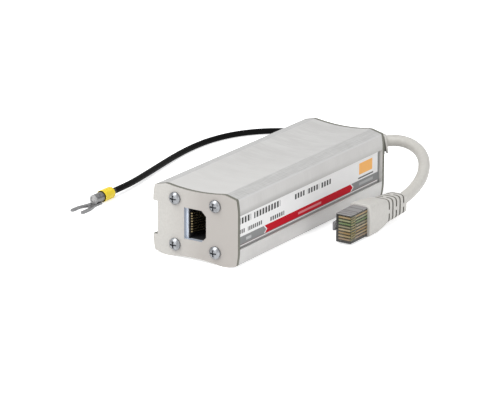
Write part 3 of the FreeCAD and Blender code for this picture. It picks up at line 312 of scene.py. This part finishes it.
def carried_outline(name, middles, headings, across_sizes, up_sizes, outline):
    """A closed skin: an outline of points (u, v) carried along a path.

    Each station's point is middle + across size * u * sideways + up size * v * upwards, where sideways is level and
    square to the heading, and upwards is square to both. A size is one number a station, or one for each of its
    points. The first and last stations are closed by a fan of faces."""
    sideways = np.cross(headings, (0, 0, 1))
    sideways /= np.linalg.norm(sideways, axis=1, keepdims=True)
    upwards = np.cross(sideways, headings)
    u, v = outline
    rings = (middles[:, None] + (across_sizes * u)[..., None] * sideways[:, None]
             + (up_sizes * v)[..., None] * upwards[:, None])
    count, around = rings.shape[:2]
    ids = np.arange(count * around).reshape(count, around)
    turned = np.roll(ids, -1, axis=1)
    quads = np.stack([ids[:-1], ids[1:], turned[1:], turned[:-1]], axis=-1).reshape(-1, 4)
    first, last = count * around, count * around + 1
    fans = [(first, a, b) for a, b in zip(ids[0], turned[0])] + [(last, b, a) for a, b in zip(ids[-1], turned[-1])]
    skin = bpy.data.meshes.new(name)
    skin.from_pydata(np.concatenate([rings.reshape(-1, 3), middles[[0, -1]]]).tolist(), [], quads.tolist() + fans)
    skin.update()
    made = bmesh.new()
    made.from_mesh(skin)
    bmesh.ops.recalc_face_normals(made, faces=made.faces)
    made.to_mesh(skin)
    made.free()
    piece = bpy.data.objects.new(name, skin)
    bpy.context.scene.collection.objects.link(piece)
    return piece


relief_length = 25.5
relief_marks = np.array([-3.0, -1.55, -1.5, 0.0, 0.05, 4.0, 14.0, relief_length])
relief_across = np.array([8.6, 8.6, 6.2, 6.2, 8.6, 8.6, 8.2, 7.6]) / 2
relief_up = np.array([13.0, 13.0, 10.2, 10.2, 13.0, 12.4, 9.3, 7.2]) / 2
relief_drop = np.array([0, 0, 0, 0, 0, 0, 0.35, 1.0])
relief_slots = 13.0 + 2.6 * np.arange(5)
relief_slot_open = 1.05
slot_depth = 0.9
wall_lean = 0.04
slot_walls = np.concatenate([relief_slots, relief_slots + relief_slot_open])
stations = np.sort(np.concatenate([relief_marks[:5], np.linspace(0.1, relief_length - 0.2, 85),
                                   slot_walls - wall_lean, slot_walls + wall_lean,
                                   relief_length - np.array([0.1, 0.02, 0])]))
past_start = stations[:, None] - relief_slots
in_slot = ((past_start > 0) & (past_start < relief_slot_open)).any(axis=1)
cut_in = end_rounding(relief_length - stations, length=0.5, depth=0.5) + slot_depth * in_slot
middles, headings = along_line(spine(patch_cord), rear_face * MM, stations * MM)
middles[:, 2] -= np.interp(stations, relief_marks, relief_drop) * MM
relief_outline = rounded_outline(120, 4.5)
relief = carried_outline("strain_relief", middles, headings,
                         (np.interp(stations, relief_marks, relief_across) - cut_in)[:, None] * MM,
                         (np.interp(stations, relief_marks, relief_up) - cut_in)[:, None] * MM, relief_outline)
relief_skin, tree, shader = new_material("relief_beige", (0.53, 0.515, 0.485), 0.5)
matt = grain(tree, 1100, 4)
paint_with(tree, shader, ramped(tree, matt, (0.497, 0.483, 0.453), (0.532, 0.517, 0.487)))
bump(tree, shader, matt, 0.18, 0.0001)
slot_shade, tree, shader = new_material("slot_shade", (0.19, 0.18, 0.16), 0.7)
paint_with(tree, shader, blend(tree, grain(tree, 1500), (0.15, 0.14, 0.125), (0.24, 0.23, 0.205)))


def finish_moulding(piece, deep):
    """The beige moulding's two materials: the slots' shade goes to each face that has a deep corner."""
    piece.data.materials.append(relief_skin)
    piece.data.materials.append(slot_shade)
    near_deep = deep | np.roll(deep, -1, axis=1)
    faces = (near_deep[:-1] | near_deep[1:]).reshape(-1)
    index = np.concatenate([faces, np.zeros(2 * deep.shape[1], bool)])
    piece.data.polygons.foreach_set("material_index", index.astype(np.int32))


finish_moulding(relief, np.repeat(in_slot[:, None], len(relief_outline[0]), axis=1))
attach(relief, "protector")
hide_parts("cord_strain_relief")


# Boot over the plug's rear half: the same soft moulding, tall and flat-sided at its mouth and tapered to the cord.
# Its five slots run round it, with a bridge left in the middle of the sides or of the top and bottom by turns, and
# it is notched behind the latch lever.
plug_x = 35.95
plug_z = 6.5
boot_mouth = 6.1
boot_length = 29.5
boot_marks = np.array([0.0, 7.0, 11.5, 15.5, 26.5, boot_length])
boot_across = np.array([4.7, 4.6, 4.3, 3.85, 3.8, 3.75])
boot_up = np.array([6.6, 6.35, 5.6, 4.75, 4.05, 3.65])
boot_lift = np.array([0.2, 0.0, -0.05, 0.0, -0.15, -0.4])
boot_slots = 15.1 + 2.75 * np.arange(5)
boot_slot_open = 0.85
bridge_half = 0.8
notch_end = 4.5
notch_half = 2.35
notch_floor = 3.35
wall_lean = 0.03
mouth_rounding = 0.6
slot_walls = np.concatenate([boot_slots, boot_slots + boot_slot_open])
stations = np.sort(np.concatenate([np.linspace(0, mouth_rounding, 7), np.linspace(0.8, boot_length - 1, 110),
                                   np.linspace(boot_length - 0.9, boot_length, 9), slot_walls - wall_lean,
                                   slot_walls + wall_lean, [notch_end - 0.02, notch_end + 0.02]]))
rounding = (end_rounding(stations, length=mouth_rounding, depth=0.5)
            + end_rounding(boot_length - stations, length=0.8, depth=0.8))
u, v = rounded_outline(240, 5.5)
half_across = np.interp(stations, boot_marks, boot_across)[:, None]
half_up = np.interp(stations, boot_marks, boot_up)[:, None]
past_start = stations[:, None] - boot_slots
slot_here = (past_start > 0) & (past_start < boot_slot_open)
side_bridged = slot_here[:, ::2].any(axis=1)[:, None] & (np.abs(v) * half_up < bridge_half)
top_bridged = slot_here[:, 1::2].any(axis=1)[:, None] & (np.abs(u) * half_across < bridge_half)
grooved = slot_here.any(axis=1)[:, None] & ~side_bridged & ~top_bridged
cut_in = rounding[:, None] + slot_depth * grooved
in_notch = (stations < notch_end)[:, None] & (u < 0) & (np.abs(v) * half_up < notch_half)
across_sizes = np.where(in_notch, notch_floor / np.maximum(0.1, np.abs(u)), half_across - cut_in)
middles = np.stack([np.full(len(stations), plug_x), boot_mouth + stations,
                    plug_z + np.interp(stations, boot_marks, boot_lift)], axis=1) * MM
boot = carried_outline("plug_boot_moulding", middles, np.tile([0.0, 1.0, 0.0], (len(stations), 1)),
                       across_sizes * MM, (half_up - cut_in) * MM, (u, v))
finish_moulding(boot, grooved)
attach(boot, "protector")
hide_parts("plug_boot")

plug_pieces = [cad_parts["plug_body"], boot, relief]
plug_pieces += [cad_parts[f"plug_contact_{i}"] for i in range(1, 9)]
plug_pieces += [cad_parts[f"plug_conductor_{i}"] for i in range(1, 9)]


# Ground wire: one black insulated conductor, clamped inside the housing. It leaves through a bush in the rear plate,
# drops to the ground behind the housing and lies there in a wide arc, up to its terminal.
wire_diameter = 2.5
wire_exit = -9.4985
wire_route = [
    (0.0, -13.0, 14.0), (0.0, 0.0, 14.0), (-0.4, 13.0, 12.6), (-3.1, 26.6, 9.0), (-8.8, 39.2, 5.0),
    (-18.1, 49.6, 2.6), (-30.7, 55.9, 1.8), (-44.8, 56.4, 1.6), (-57.5, 50.6, 1.5), (-66.5, 39.8, 1.5),
    (-71.1, 26.3, 1.4), (-71.8, 12.0, 1.35), (-70.4, -2.4, 1.35), (-67.9, -16.4, 1.5), (-65.1, -30.6, 1.8),
    (-62.5, -44.6, 2.1), (-61.5, -57.5, 2.4), (-61.5, -62.3, 2.4)]


def gloss(tree, shader, value, smooth, rough):
    """Lets a grain move the roughness between two values."""
    link(tree, remap(tree, value, 0.3, 0.7, smooth, rough), shader.inputs["Roughness"])


ground_wire = nurbs_cord("ground_wire_insulation", wire_route, wire_exit, wire_diameter)
wire_black, tree, shader = new_material("wire_black", (0.003, 0.003, 0.003), 0.55, specular=0.045)
matt = grain(tree, 1400, 4)
gloss(tree, shader, matt, 0.42, 0.6)
bump(tree, shader, matt, 0.2, 0.0001)
ground_wire.data.materials.append(wire_black)
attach(ground_wire, "protector")
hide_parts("ground_wire")

# Collar on the wire's end: a yellow twelve-sided plastic sleeve, pushed over the terminal's barrel and the wire. It
# is open in front, and the faces inside its mouth are painted near-black, as painted shade in the gap round the
# barrel.
sides = 12
around = 96
wire_end_x, _, wire_end_z = wire_route[-1]
collar_front = -14.1
collar_rear = -7.7
collar_stations = np.array([collar_front + 1.15, collar_front + 1.1, collar_front + 0.04, collar_front,
                            collar_front + 0.15, collar_rear - 0.4, collar_rear - 0.1, collar_rear])
collar_reach = np.array([2.0, 2.2, 2.2, 2.28, 2.4, 2.4, 2.25, 1.9])[:, None] * MM
count = len(collar_stations)
middles = np.stack([np.full(count, wire_exit + wire_end_x), collar_stations, np.full(count, wire_end_z)], axis=1) * MM
facet = 2 * np.pi / sides
turn = np.linspace(0, 2 * np.pi, around, endpoint=False)
facet_reach = 1 / np.cos((turn - facet / 2) % facet - facet / 2)
collar = carried_outline("terminal_collar", middles, np.tile([0.0, 1.0, 0.0], (count, 1)), collar_reach,
                         collar_reach, (facet_reach * np.cos(turn), facet_reach * np.sin(turn)))
yellow, tree, shader = new_material("collar_yellow", (0.80, 0.60, 0.015), 0.45)
dye = grain(tree, 800)
paint_with(tree, shader, ramped(tree, dye, (0.82, 0.60, 0.008), (0.90, 0.70, 0.018)))
bump(tree, shader, dye, 0.15, 0.00008)
# Painted shade: near-black for the faces inside the collar's open front, where shade falls round the barrel.
mouth_painted_shade, tree, shader = new_material("collar_mouth_painted_shade", (0.012, 0.011, 0.008), 0.6)
gloss(tree, shader, grain(tree, 900), 0.5, 0.7)
collar.data.materials.append(yellow)
collar.data.materials.append(mouth_painted_shade)
mouth_rings = 2
face_ring = np.concatenate([np.repeat(np.arange(count - 1), around), np.zeros(around, int),
                            np.full(around, count - 1)])
collar.data.polygons.foreach_set("material_index", (face_ring < mouth_rings).astype(np.int32))
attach(collar, "protector")
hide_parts("terminal_sleeve")


# Housing: an extruded aluminium profile, clear anodised after a fine grinding across its length. The sloped
# shoulders were ground on their own: their grain runs along the length, and their colour is a little darker, between
# two painted highlights on their edges. Painted light brightens the top towards the front and the sides' low rear,
# and painted shade darkens the sides near the slots' upper lips.
def dress(names, made):
    """Gives a material to CAD nodes."""
    for name in names:
        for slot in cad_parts[name].material_slots:
            slot.material = made


def axes(tree):
    """The object coordinates, one socket an axis."""
    place = tree.nodes.new("ShaderNodeTexCoord")
    split = tree.nodes.new("ShaderNodeSeparateXYZ")
    link(tree, place.outputs["Object"], split.inputs["Vector"])
    return split.outputs["X"], split.outputs["Y"], split.outputs["Z"]


def beyond(tree, value, limit):
    """1 where a value is above a limit."""
    return math_node(tree, "GREATER_THAN", value, limit)


def below(tree, value, limit):
    """1 where a value is below a limit."""
    return math_node(tree, "LESS_THAN", value, limit)


def off_line(tree, value, line):
    """How far a value is from a line."""
    return math_node(tree, "ABSOLUTE", math_node(tree, "SUBTRACT", value, line))


def near_line(tree, value, line, half):
    """1 where a value is within half of a line."""
    return below(tree, off_line(tree, value, line), half)


middle_height = 14 * MM
ridge_x = 12.9 * MM
side_x = 18.3 * MM
slope_foot = 12.7 * MM
aluminium, tree, shader = new_material("ground_aluminium", (0.50, 0.495, 0.49), 0.5, 0.35)
x, y, z = axes(tree)
outward = math_node(tree, "ABSOLUTE", x)
upright = off_line(tree, z, middle_height)
across = grain(tree, 2600, 3, 0.6, (0.06, 1, 0.06))
patches = grain(tree, 120, 4, 0.6, (0.35, 1, 0.35))
tone = math_node(tree, "ADD", both(tree, across, 0.6), both(tree, patches, 0.4))
top_grain_and_light = ramped(tree, tone, (0.487, 0.479, 0.468), (0.585, 0.58, 0.568), 0.40, 0.60)
# Painted light: the top's colour is lighter towards the front.
top_grain_and_light = blend(tree, remap(tree, y, -50 * MM, 10 * MM, 0.75, 0), top_grain_and_light, (0.60, 0.592, 0.575))
side_grain_shade_and_light = ramped(tree, tone, (0.488, 0.48, 0.468), (0.546, 0.538, 0.526), 0.38, 0.62)
# Painted shade: the sides are darker near the slots' upper lips, and this shade is darker towards the front.
lip_shade = ramped(tree, y, (0.36, 0.356, 0.348), (0.455, 0.45, 0.438), -30 * MM, 30 * MM)
off_lip = either(tree, remap(tree, z, 20.4 * MM, 22.8 * MM), below(tree, z, middle_height))
side_grain_shade_and_light = blend(tree, off_lip, lip_shade, side_grain_shade_and_light)
# Painted light: the low rear of the sides is lighter, where the plug's shadow falls on them.
low_rear_painted_light = both(tree, remap(tree, z, 8 * MM, 6 * MM), remap(tree, y, -25 * MM, 5 * MM))
side_grain_shade_and_light = blend(tree, low_rear_painted_light, side_grain_shade_and_light, (0.62, 0.615, 0.603))
lengthwise = grain(tree, 3000, 2, 0.5, (1, 0.04, 1))
crosswise = grain(tree, 4200, 2, 0.5, (0.05, 1, 0.05))
fine = both(tree, math_node(tree, "ADD", lengthwise, crosswise), 0.5)
closer = ramped(tree, fine, (0.425, 0.421, 0.412), (0.518, 0.514, 0.505), 0.40, 0.60)
on_shoulder = both(tree, beyond(tree, outward, ridge_x), beyond(tree, upright, slope_foot))
# The housing's colour: the ground grain together with its painted light and shade.
ground = blend(tree, beyond(tree, outward, side_x), top_grain_and_light, side_grain_shade_and_light)
ground = blend(tree, on_shoulder, ground, closer)
# Painted highlight: a light line along both edges of each shoulder.
on_edge = either(tree, near_line(tree, outward, ridge_x, 0.15 * MM), near_line(tree, outward, side_x, 0.22 * MM))
edge_painted_highlight = both(tree, on_edge, beyond(tree, upright, slope_foot - 0.5 * MM))
paint_with(tree, shader, blend(tree, edge_painted_highlight, ground, (0.54, 0.535, 0.53)))
gloss(tree, shader, across, 0.42, 0.6)
bump(tree, shader, across, 0.16, 0.00008)
dress(["housing_extrusion"], aluminium)


# Plates: punched sheet steel with beige powder paint, screwed to both ends of the housing. The outer cut edges are
# a darker olive and the edges of the socket's cut-out a light bluish grey. Painted shade darkens the front plate
# towards the side with the label, and painted light brightens the rear plate's inner face, where it closes the slots.
def facing(tree):
    """The way each face points, one socket an axis."""
    geometry = tree.nodes.new("ShaderNodeNewGeometry")
    split = tree.nodes.new("ShaderNodeSeparateXYZ")
    link(tree, geometry.outputs["True Normal"], split.inputs["Vector"])
    return split.outputs["X"], split.outputs["Y"], split.outputs["Z"]


paint, tree, shader = new_material("plate_paint", (0.60, 0.58, 0.545), 0.5)
x, y, z = axes(tree)
_, facing_y, _ = facing(tree)
speckle = grain(tree, 1500, 4)
beige = ramped(tree, speckle, (0.487, 0.472, 0.443), (0.521, 0.506, 0.477))
front_half = below(tree, y, 0)
rear_half = math_node(tree, "SUBTRACT", 1, front_half)
# Painted shade: the front plate is darker towards the side with the label.
beige = blend(tree, both(tree, remap(tree, x, -13 * MM, 3 * MM), front_half), beige, (0.405, 0.38, 0.355))
# Painted light: the rear plate's inner face, where it closes the slots, is a light beige.
slot_end_painted_light = both(tree, below(tree, facing_y, -0.5), rear_half)
beige = blend(tree, slot_end_painted_light, beige, (0.82, 0.81, 0.78))
in_cutout = both(tree, near_line(tree, x, 0, 6 * MM), near_line(tree, z, middle_height, 7 * MM))
cut_edge = blend(tree, in_cutout, (0.12, 0.12, 0.095), (0.40, 0.44, 0.50))
flat = remap(tree, math_node(tree, "ABSOLUTE", facing_y), 0.3, 0.7)
paint_with(tree, shader, blend(tree, flat, cut_edge, beige))
bump(tree, shader, speckle, 0.25, 0.00012)
dress(["front_plate", "rear_plate"], paint)


# Screws: zinc-plated steel pan heads with a cross recess. Four hold each plate to the housing's screw ports, and
# one clamps the ground wire inside.
zinc, tree, shader = new_material("bright_zinc", (0.40, 0.415, 0.44), 0.32, 1.0)
stain = grain(tree, 700, 4)
paint_with(tree, shader, ramped(tree, stain, (0.20, 0.207, 0.22), (0.33, 0.34, 0.355)))
gloss(tree, shader, stain, 0.24, 0.42)
dress(["front_screws", "rear_screws", "earth_clamp_screw"], zinc)


# Label strip: a white printed strip slid into the right T-slot, with a grey and red band along its lower part. Its
# pattern is plain: rows of dark blocks, lighter patches in the bands and one orange patch near the rear.
def between(tree, value, low, high):
    """1 where a value lies between two limits in millimetres."""
    return near_line(tree, value, (low + high) / 2 * MM, (high - low) / 2 * MM)


band_low = 8.4
band_high = 11.65
front_tip = -31.35 * MM
rear_tip = 30.7 * MM
chevron_slope = 1.1
chevron_gap = 0.7 * MM
end_shade_start = 49.5 * MM
block_share = 0.62
printed, tree, shader = new_material("printed_strip", (0.79, 0.785, 0.78), 0.6, specular=0.12)
_, y, z = axes(tree)
in_band = between(tree, z, band_low, band_high)
off_middle = off_line(tree, z, (band_low + band_high) / 2 * MM)
arrow = math_node(tree, "ADD", y, both(tree, off_middle, chevron_slope))
grey_part = either(tree, below(tree, arrow, front_tip), beyond(tree, arrow, rear_tip + chevron_gap))
red_part = both(tree, beyond(tree, arrow, front_tip + chevron_gap), below(tree, arrow, rear_tip))
look = blend(tree, grain(tree, 300), (0.765, 0.76, 0.755), (0.81, 0.805, 0.80))
look = blend(tree, both(tree, grey_part, in_band), look, (0.235, 0.24, 0.24))
look = blend(tree, both(tree, red_part, in_band), look, (0.46, 0.003, 0.014))
# Each row: its start and end along the strip, its bottom and top, and the pitch of its blocks.
for start, end, low, high, pitch in (
        (-51.2, -41.7, 16.5, 18.9, 2.0), (-39.6, -21.7, 16.4, 18.8, 2.0), (-51.2, -45.6, 12.8, 14.4, 1.3),
        (-43.8, -34.0, 12.7, 14.3, 1.3), (-28.6, -18.9, 12.3, 13.9, 1.5), (-12.0, -4.6, 16.2, 18.3, 1.9),
        (-2.8, 5.9, 16.0, 18.1, 1.9), (7.6, 14.4, 15.8, 17.9, 1.9)):
    in_block = below(tree, math_node(tree, "FRACT", math_node(tree, "DIVIDE", y, pitch * MM)), block_share)
    in_row = both(tree, between(tree, y, start, end), between(tree, z, low, high))
    look = blend(tree, both(tree, in_row, in_block), look, (0.07, 0.07, 0.07))
for start, end, low, high, tint in (
        (35.4, 45.4, 13.9, 18.5, (0.88, 0.46, 0.15)), (34.8, 46.2, 12.2, 12.8, (0.12, 0.12, 0.12)),
        (-9.0, 7.5, 9.6, 10.5, (0.62, 0.22, 0.24)), (35.5, 46.0, 9.5, 10.6, (0.38, 0.385, 0.385)),
        (-45.0, -41.5, 9.5, 10.6, (0.45, 0.455, 0.455))):
    look = blend(tree, both(tree, between(tree, y, start, end), between(tree, z, low, high)), look, tint)
# Painted shade: a dark line along the band's bottom edge.
look = blend(tree, between(tree, z, band_low - 0.05, band_low + 0.25), look, (0.22, 0.17, 0.17))
# Painted shade: the strip's lower edge, behind the slot's lower lip, is darker.
look = blend(tree, between(tree, z, 6.0, 7.95), look, (0.36, 0.355, 0.35))
# Painted shade: the strip's rear end, in the gap before the rear plate, is dark.
look = blend(tree, beyond(tree, y, end_shade_start), look, (0.24, 0.245, 0.245))
paint_with(tree, shader, look)
dress(["label_strip"], printed)


# Socket: a black moulded insulator with eight gold spring wires in its combs. A folded shield of nickel-plated
# sheet goes round it, and the shield's lip shows in the front plate's cut-out.
shield, tree, shader = new_material("socket_shield", (0.72, 0.76, 0.84), 0.34, 0.35)
x, _, _ = axes(tree)
rolled = grain(tree, 1500, 3, 0.5, (1, 0.1, 1))
plated = blend(tree, rolled, (0.78, 0.83, 0.92), (0.86, 0.91, 0.99))
# Painted shade: a near-black strip along the inner edge of the shield's lip.
lip_edge_painted_shade = near_line(tree, x, -3.5 * MM, 0.55 * MM)
paint_with(tree, shader, blend(tree, lip_edge_painted_shade, plated, (0.06, 0.06, 0.065)))
gloss(tree, shader, rolled, 0.28, 0.42)
dress(["jack_shell"], shield)

socket_black, tree, shader = new_material("socket_black", (0.014, 0.014, 0.016), 0.5)
matt = grain(tree, 1800)
gloss(tree, shader, matt, 0.42, 0.62)
bump(tree, shader, matt, 0.15, 0.00008)
dress(["jack_insulator", "board_link_header"], socket_black)

gold, tree, shader = new_material("gold_contact", (0.62, 0.50, 0.28), 0.3, 0.9)
plating = grain(tree, 2500)
paint_with(tree, shader, blend(tree, plating, (0.16, 0.125, 0.07), (0.27, 0.215, 0.12)))
gloss(tree, shader, plating, 0.14, 0.32)
dress([f"jack_contact_{i}" for i in range(1, 9)], gold)


# Boards and the surge components soldered to them inside the closed housing: ceramic gas tubes, black moulded chips,
# a grey terminal block for the cord's cores and a brass block for the ground wire.
board, tree, shader = new_material("board_green", (0.02, 0.13, 0.05), 0.35)
weave = grain(tree, 600, 2, 0.5, (1, 1, 0.2))
paint_with(tree, shader, ramped(tree, weave, (0.015, 0.11, 0.045), (0.03, 0.16, 0.065), 0.4, 0.6))
dress(["jack_board", "main_board"], board)

ceramic, tree, shader = new_material("tube_ceramic", (0.78, 0.76, 0.71), 0.3)
paint_with(tree, shader, blend(tree, grain(tree, 500), (0.72, 0.70, 0.65), (0.82, 0.80, 0.76)))
dress([f"gas_discharge_tube_{i}" for i in range(1, 5)], ceramic)

chips = [f"{kind}_{i}" for kind in ("suppressor_diode", "decoupling_resistor") for i in (1, 2)]
cores = [f"cord_core_{i}" for i in range(1, 5)]
for name, color, metallic, scale, smooth, rough, nodes in (
        ("chip_black", (0.02, 0.02, 0.02), 0.0, 2200, 0.45, 0.65, chips),
        ("block_grey", (0.20, 0.21, 0.21), 0.0, 1600, 0.42, 0.6, ["cord_terminal_block"]),
        ("clamp_brass", (0.70, 0.52, 0.24), 1.0, 900, 0.22, 0.42, ["earth_block"]),
        ("core_insulation", (0.70, 0.68, 0.62), 0.0, 1200, 0.38, 0.55, cores)):
    made, tree, shader = new_material(name, color, rough, metallic)
    gloss(tree, shader, grain(tree, scale), smooth, rough)
    dress(nodes, made)


# Plug: smoky clear polycarbonate, pressed onto eight insulated conductors. Each conductor lies in its own channel,
# and the channels show as tinted stripes across the nose and along the side.
rows = 8
row_pitch = 1.227 * MM
rows_low = 1.73
rows_high = 11.55
top_face = 11.9 * MM
side_face_x = 39.0 * MM
latch_wall_x = 33.9 * MM
blade_end = -2.4 * MM
row_tints = [(0.28, 0.20, 0.13), (0.36, 0.27, 0.15), (0.30, 0.20, 0.09), (0.38, 0.30, 0.18),
             (0.26, 0.23, 0.15), (0.165, 0.215, 0.10), (0.29, 0.295, 0.17), (0.36, 0.26, 0.14)]
clear, tree, shader = new_material("clear_plug", (0.42, 0.42, 0.43), 0.16, specular=0.2)
x, y, z = axes(tree)
row = math_node(tree, "DIVIDE", math_node(tree, "SUBTRACT", z, rows_low * MM), row_pitch)
tints = tree.nodes.new("ShaderNodeValToRGB")
tints.color_ramp.interpolation = "CONSTANT"
for i, tint in enumerate(row_tints):
    stop = tints.color_ramp.elements[i] if i < 2 else tints.color_ramp.elements.new(i / rows)
    stop.position = i / rows
    stop.color = (*tint, 1)
link(tree, math_node(tree, "DIVIDE", row, rows), tints.inputs["Fac"])
row_tint = tints.outputs["Color"]
in_rows = between(tree, z, rows_low, rows_high)
off_row = off_line(tree, math_node(tree, "FRACT", row), 0.5)
channel = both(tree, in_rows, remap(tree, off_row, 0.18, 0.30, 1, 0))
on_side = beyond(tree, x, side_face_x)
on_top = beyond(tree, z, top_face)
latch_wall = below(tree, x, latch_wall_x)
row_ground = blend(tree, 1.0, row_tint, (0.17, 0.19, 0.15), "MULTIPLY")
smoky = blend(tree, in_rows, (0.03, 0.03, 0.027), row_ground)
smoky = blend(tree, channel, smoky, row_tint)
blades = blend(tree, below(tree, y, blade_end), smoky, (0.055, 0.07, 0.03))
smoky = blend(tree, both(tree, on_side, both(tree, in_rows, 0.6)), smoky, blades)
blade_edge = both(tree, on_side, near_line(tree, y, blade_end, 0.2 * MM))
smoky = blend(tree, both(tree, blade_edge, in_rows), smoky, (0.24, 0.23, 0.17))
smoky = blend(tree, latch_wall, smoky, (0.03, 0.03, 0.028))
smoky = blend(tree, on_top, smoky, (0.27, 0.26, 0.26))
for rib in (-4.9, -1.2, 2.6):
    smoky = blend(tree, both(tree, on_top, near_line(tree, y, rib * MM, 0.25 * MM)), smoky, (0.12, 0.115, 0.11))
paint_with(tree, shader, smoky)
cover = either(tree, both(tree, channel, 0.88), both(tree, on_top, 0.9))
link(tree, either(tree, cover, 0.8), shader.inputs["Alpha"])
gloss(tree, shader, grain(tree, 500, 2), 0.1, 0.22)
dress(["plug_body"], clear)

# Latch lever: the same clear plastic, moulded in one with the plug at its root. Its broad faces behind the root let
# more light through than its edges.
lever, tree, shader = new_material("clear_latch", (0.13, 0.13, 0.135), 0.18)
_, y, _ = axes(tree)
facing_x, _, _ = facing(tree)
broad = both(tree, beyond(tree, y, -4.7 * MM), beyond(tree, math_node(tree, "ABSOLUTE", facing_x), 0.7))
link(tree, remap(tree, broad, 0, 1, 0.9, 0.25), shader.inputs["Alpha"])
gloss(tree, shader, grain(tree, 600, 2), 0.12, 0.26)
dress(["plug_latch"], lever)

# Blades and conductors inside the plug: gold-plated blades, pressed into copper strands with coloured insulation.
# Every other conductor is ringed with a paler colour.
blade_gold, tree, shader = new_material("plug_blade_gold", (0.50, 0.40, 0.17), 0.35, 0.8)
paint_with(tree, shader, blend(tree, grain(tree, 2500), (0.42, 0.33, 0.14), (0.56, 0.45, 0.20)))
dress([f"plug_contact_{i}" for i in range(1, 9)], blade_gold)

for i, tint in enumerate(row_tints, 1):
    made, tree, shader = new_material(f"conductor_{i}", tint, 0.4)
    matt = grain(tree, 1500)
    brighter = tuple(min(1, 1.25 * c) for c in tint)
    if i % 2:
        bands = tree.nodes.new("ShaderNodeTexWave")
        bands.inputs["Scale"].default_value = 260
        bands.bands_direction = "Y"
        link(tree, object_place(tree), bands.inputs["Vector"])
        paint_with(tree, shader, ramped(tree, bands.outputs["Fac"], (0.72, 0.66, 0.52), brighter, 0.72, 0.78))
    else:
        paint_with(tree, shader, blend(tree, matt, tint, brighter))
    gloss(tree, shader, matt, 0.34, 0.5)
    dress([f"plug_conductor_{i}"], made)


# Ground wire's end: a barrel and a flat open fork of tinned copper, crimped onto the bare strands, which show in the
# barrel's mouth. From inside the collar rearwards both are painted near-black: painted shade where the collar hides
# them, and the black of the wire's insulation where the barrel's neck shows behind the collar.
shade_and_insulation_black = (0.004, 0.004, 0.004)
under_collar = -8.6 * MM
barrel_front = -22 * MM
tinned, tree, shader = new_material("tinned_copper", (0.36, 0.36, 0.36), 0.36, 1.0)
_, y, _ = axes(tree)
_, facing_y, _ = facing(tree)
tin = grain(tree, 900, 4)
metal = ramped(tree, tin, (0.125, 0.125, 0.13), (0.255, 0.255, 0.255), 0.3, 0.7)
barrel_end = both(tree, below(tree, facing_y, -0.7), beyond(tree, y, barrel_front))
metal = blend(tree, barrel_end, metal, (0.40, 0.40, 0.40))
covered = beyond(tree, y, under_collar)
paint_with(tree, shader, blend(tree, covered, metal, shade_and_insulation_black))
link(tree, remap(tree, either(tree, barrel_end, covered), 0, 1, 1, 0.3), shader.inputs["Metallic"])
gloss(tree, shader, tin, 0.22, 0.42)
dress(["fork_terminal"], tinned)

strand_end, tree, shader = new_material("wire_end", (0.50, 0.495, 0.49), 0.45, 0.5)
_, y, _ = axes(tree)
strands = grain(tree, 3000, 3, 0.5, (1, 0.1, 1))
metal = ramped(tree, strands, (0.38, 0.375, 0.37), (0.56, 0.555, 0.55))
# From inside the collar rearwards: painted shade, and the wire's insulation black behind the collar, as on the
# barrel.
covered = beyond(tree, y, under_collar)
paint_with(tree, shader, blend(tree, covered, metal, shade_and_insulation_black))
link(tree, remap(tree, covered, 0, 1, 0.5, 0), shader.inputs["Metallic"])
dress(["terminal_core"], strand_end)

# Bush: a black rubber ring pressed into the rear plate, which keeps the sheet's edge off the ground wire.
bush, tree, shader = new_material("bush_black", (0.02, 0.02, 0.02), 0.6)
gloss(tree, shader, grain(tree, 1500), 0.5, 0.7)
dress(["ground_wire_grommet"], bush)
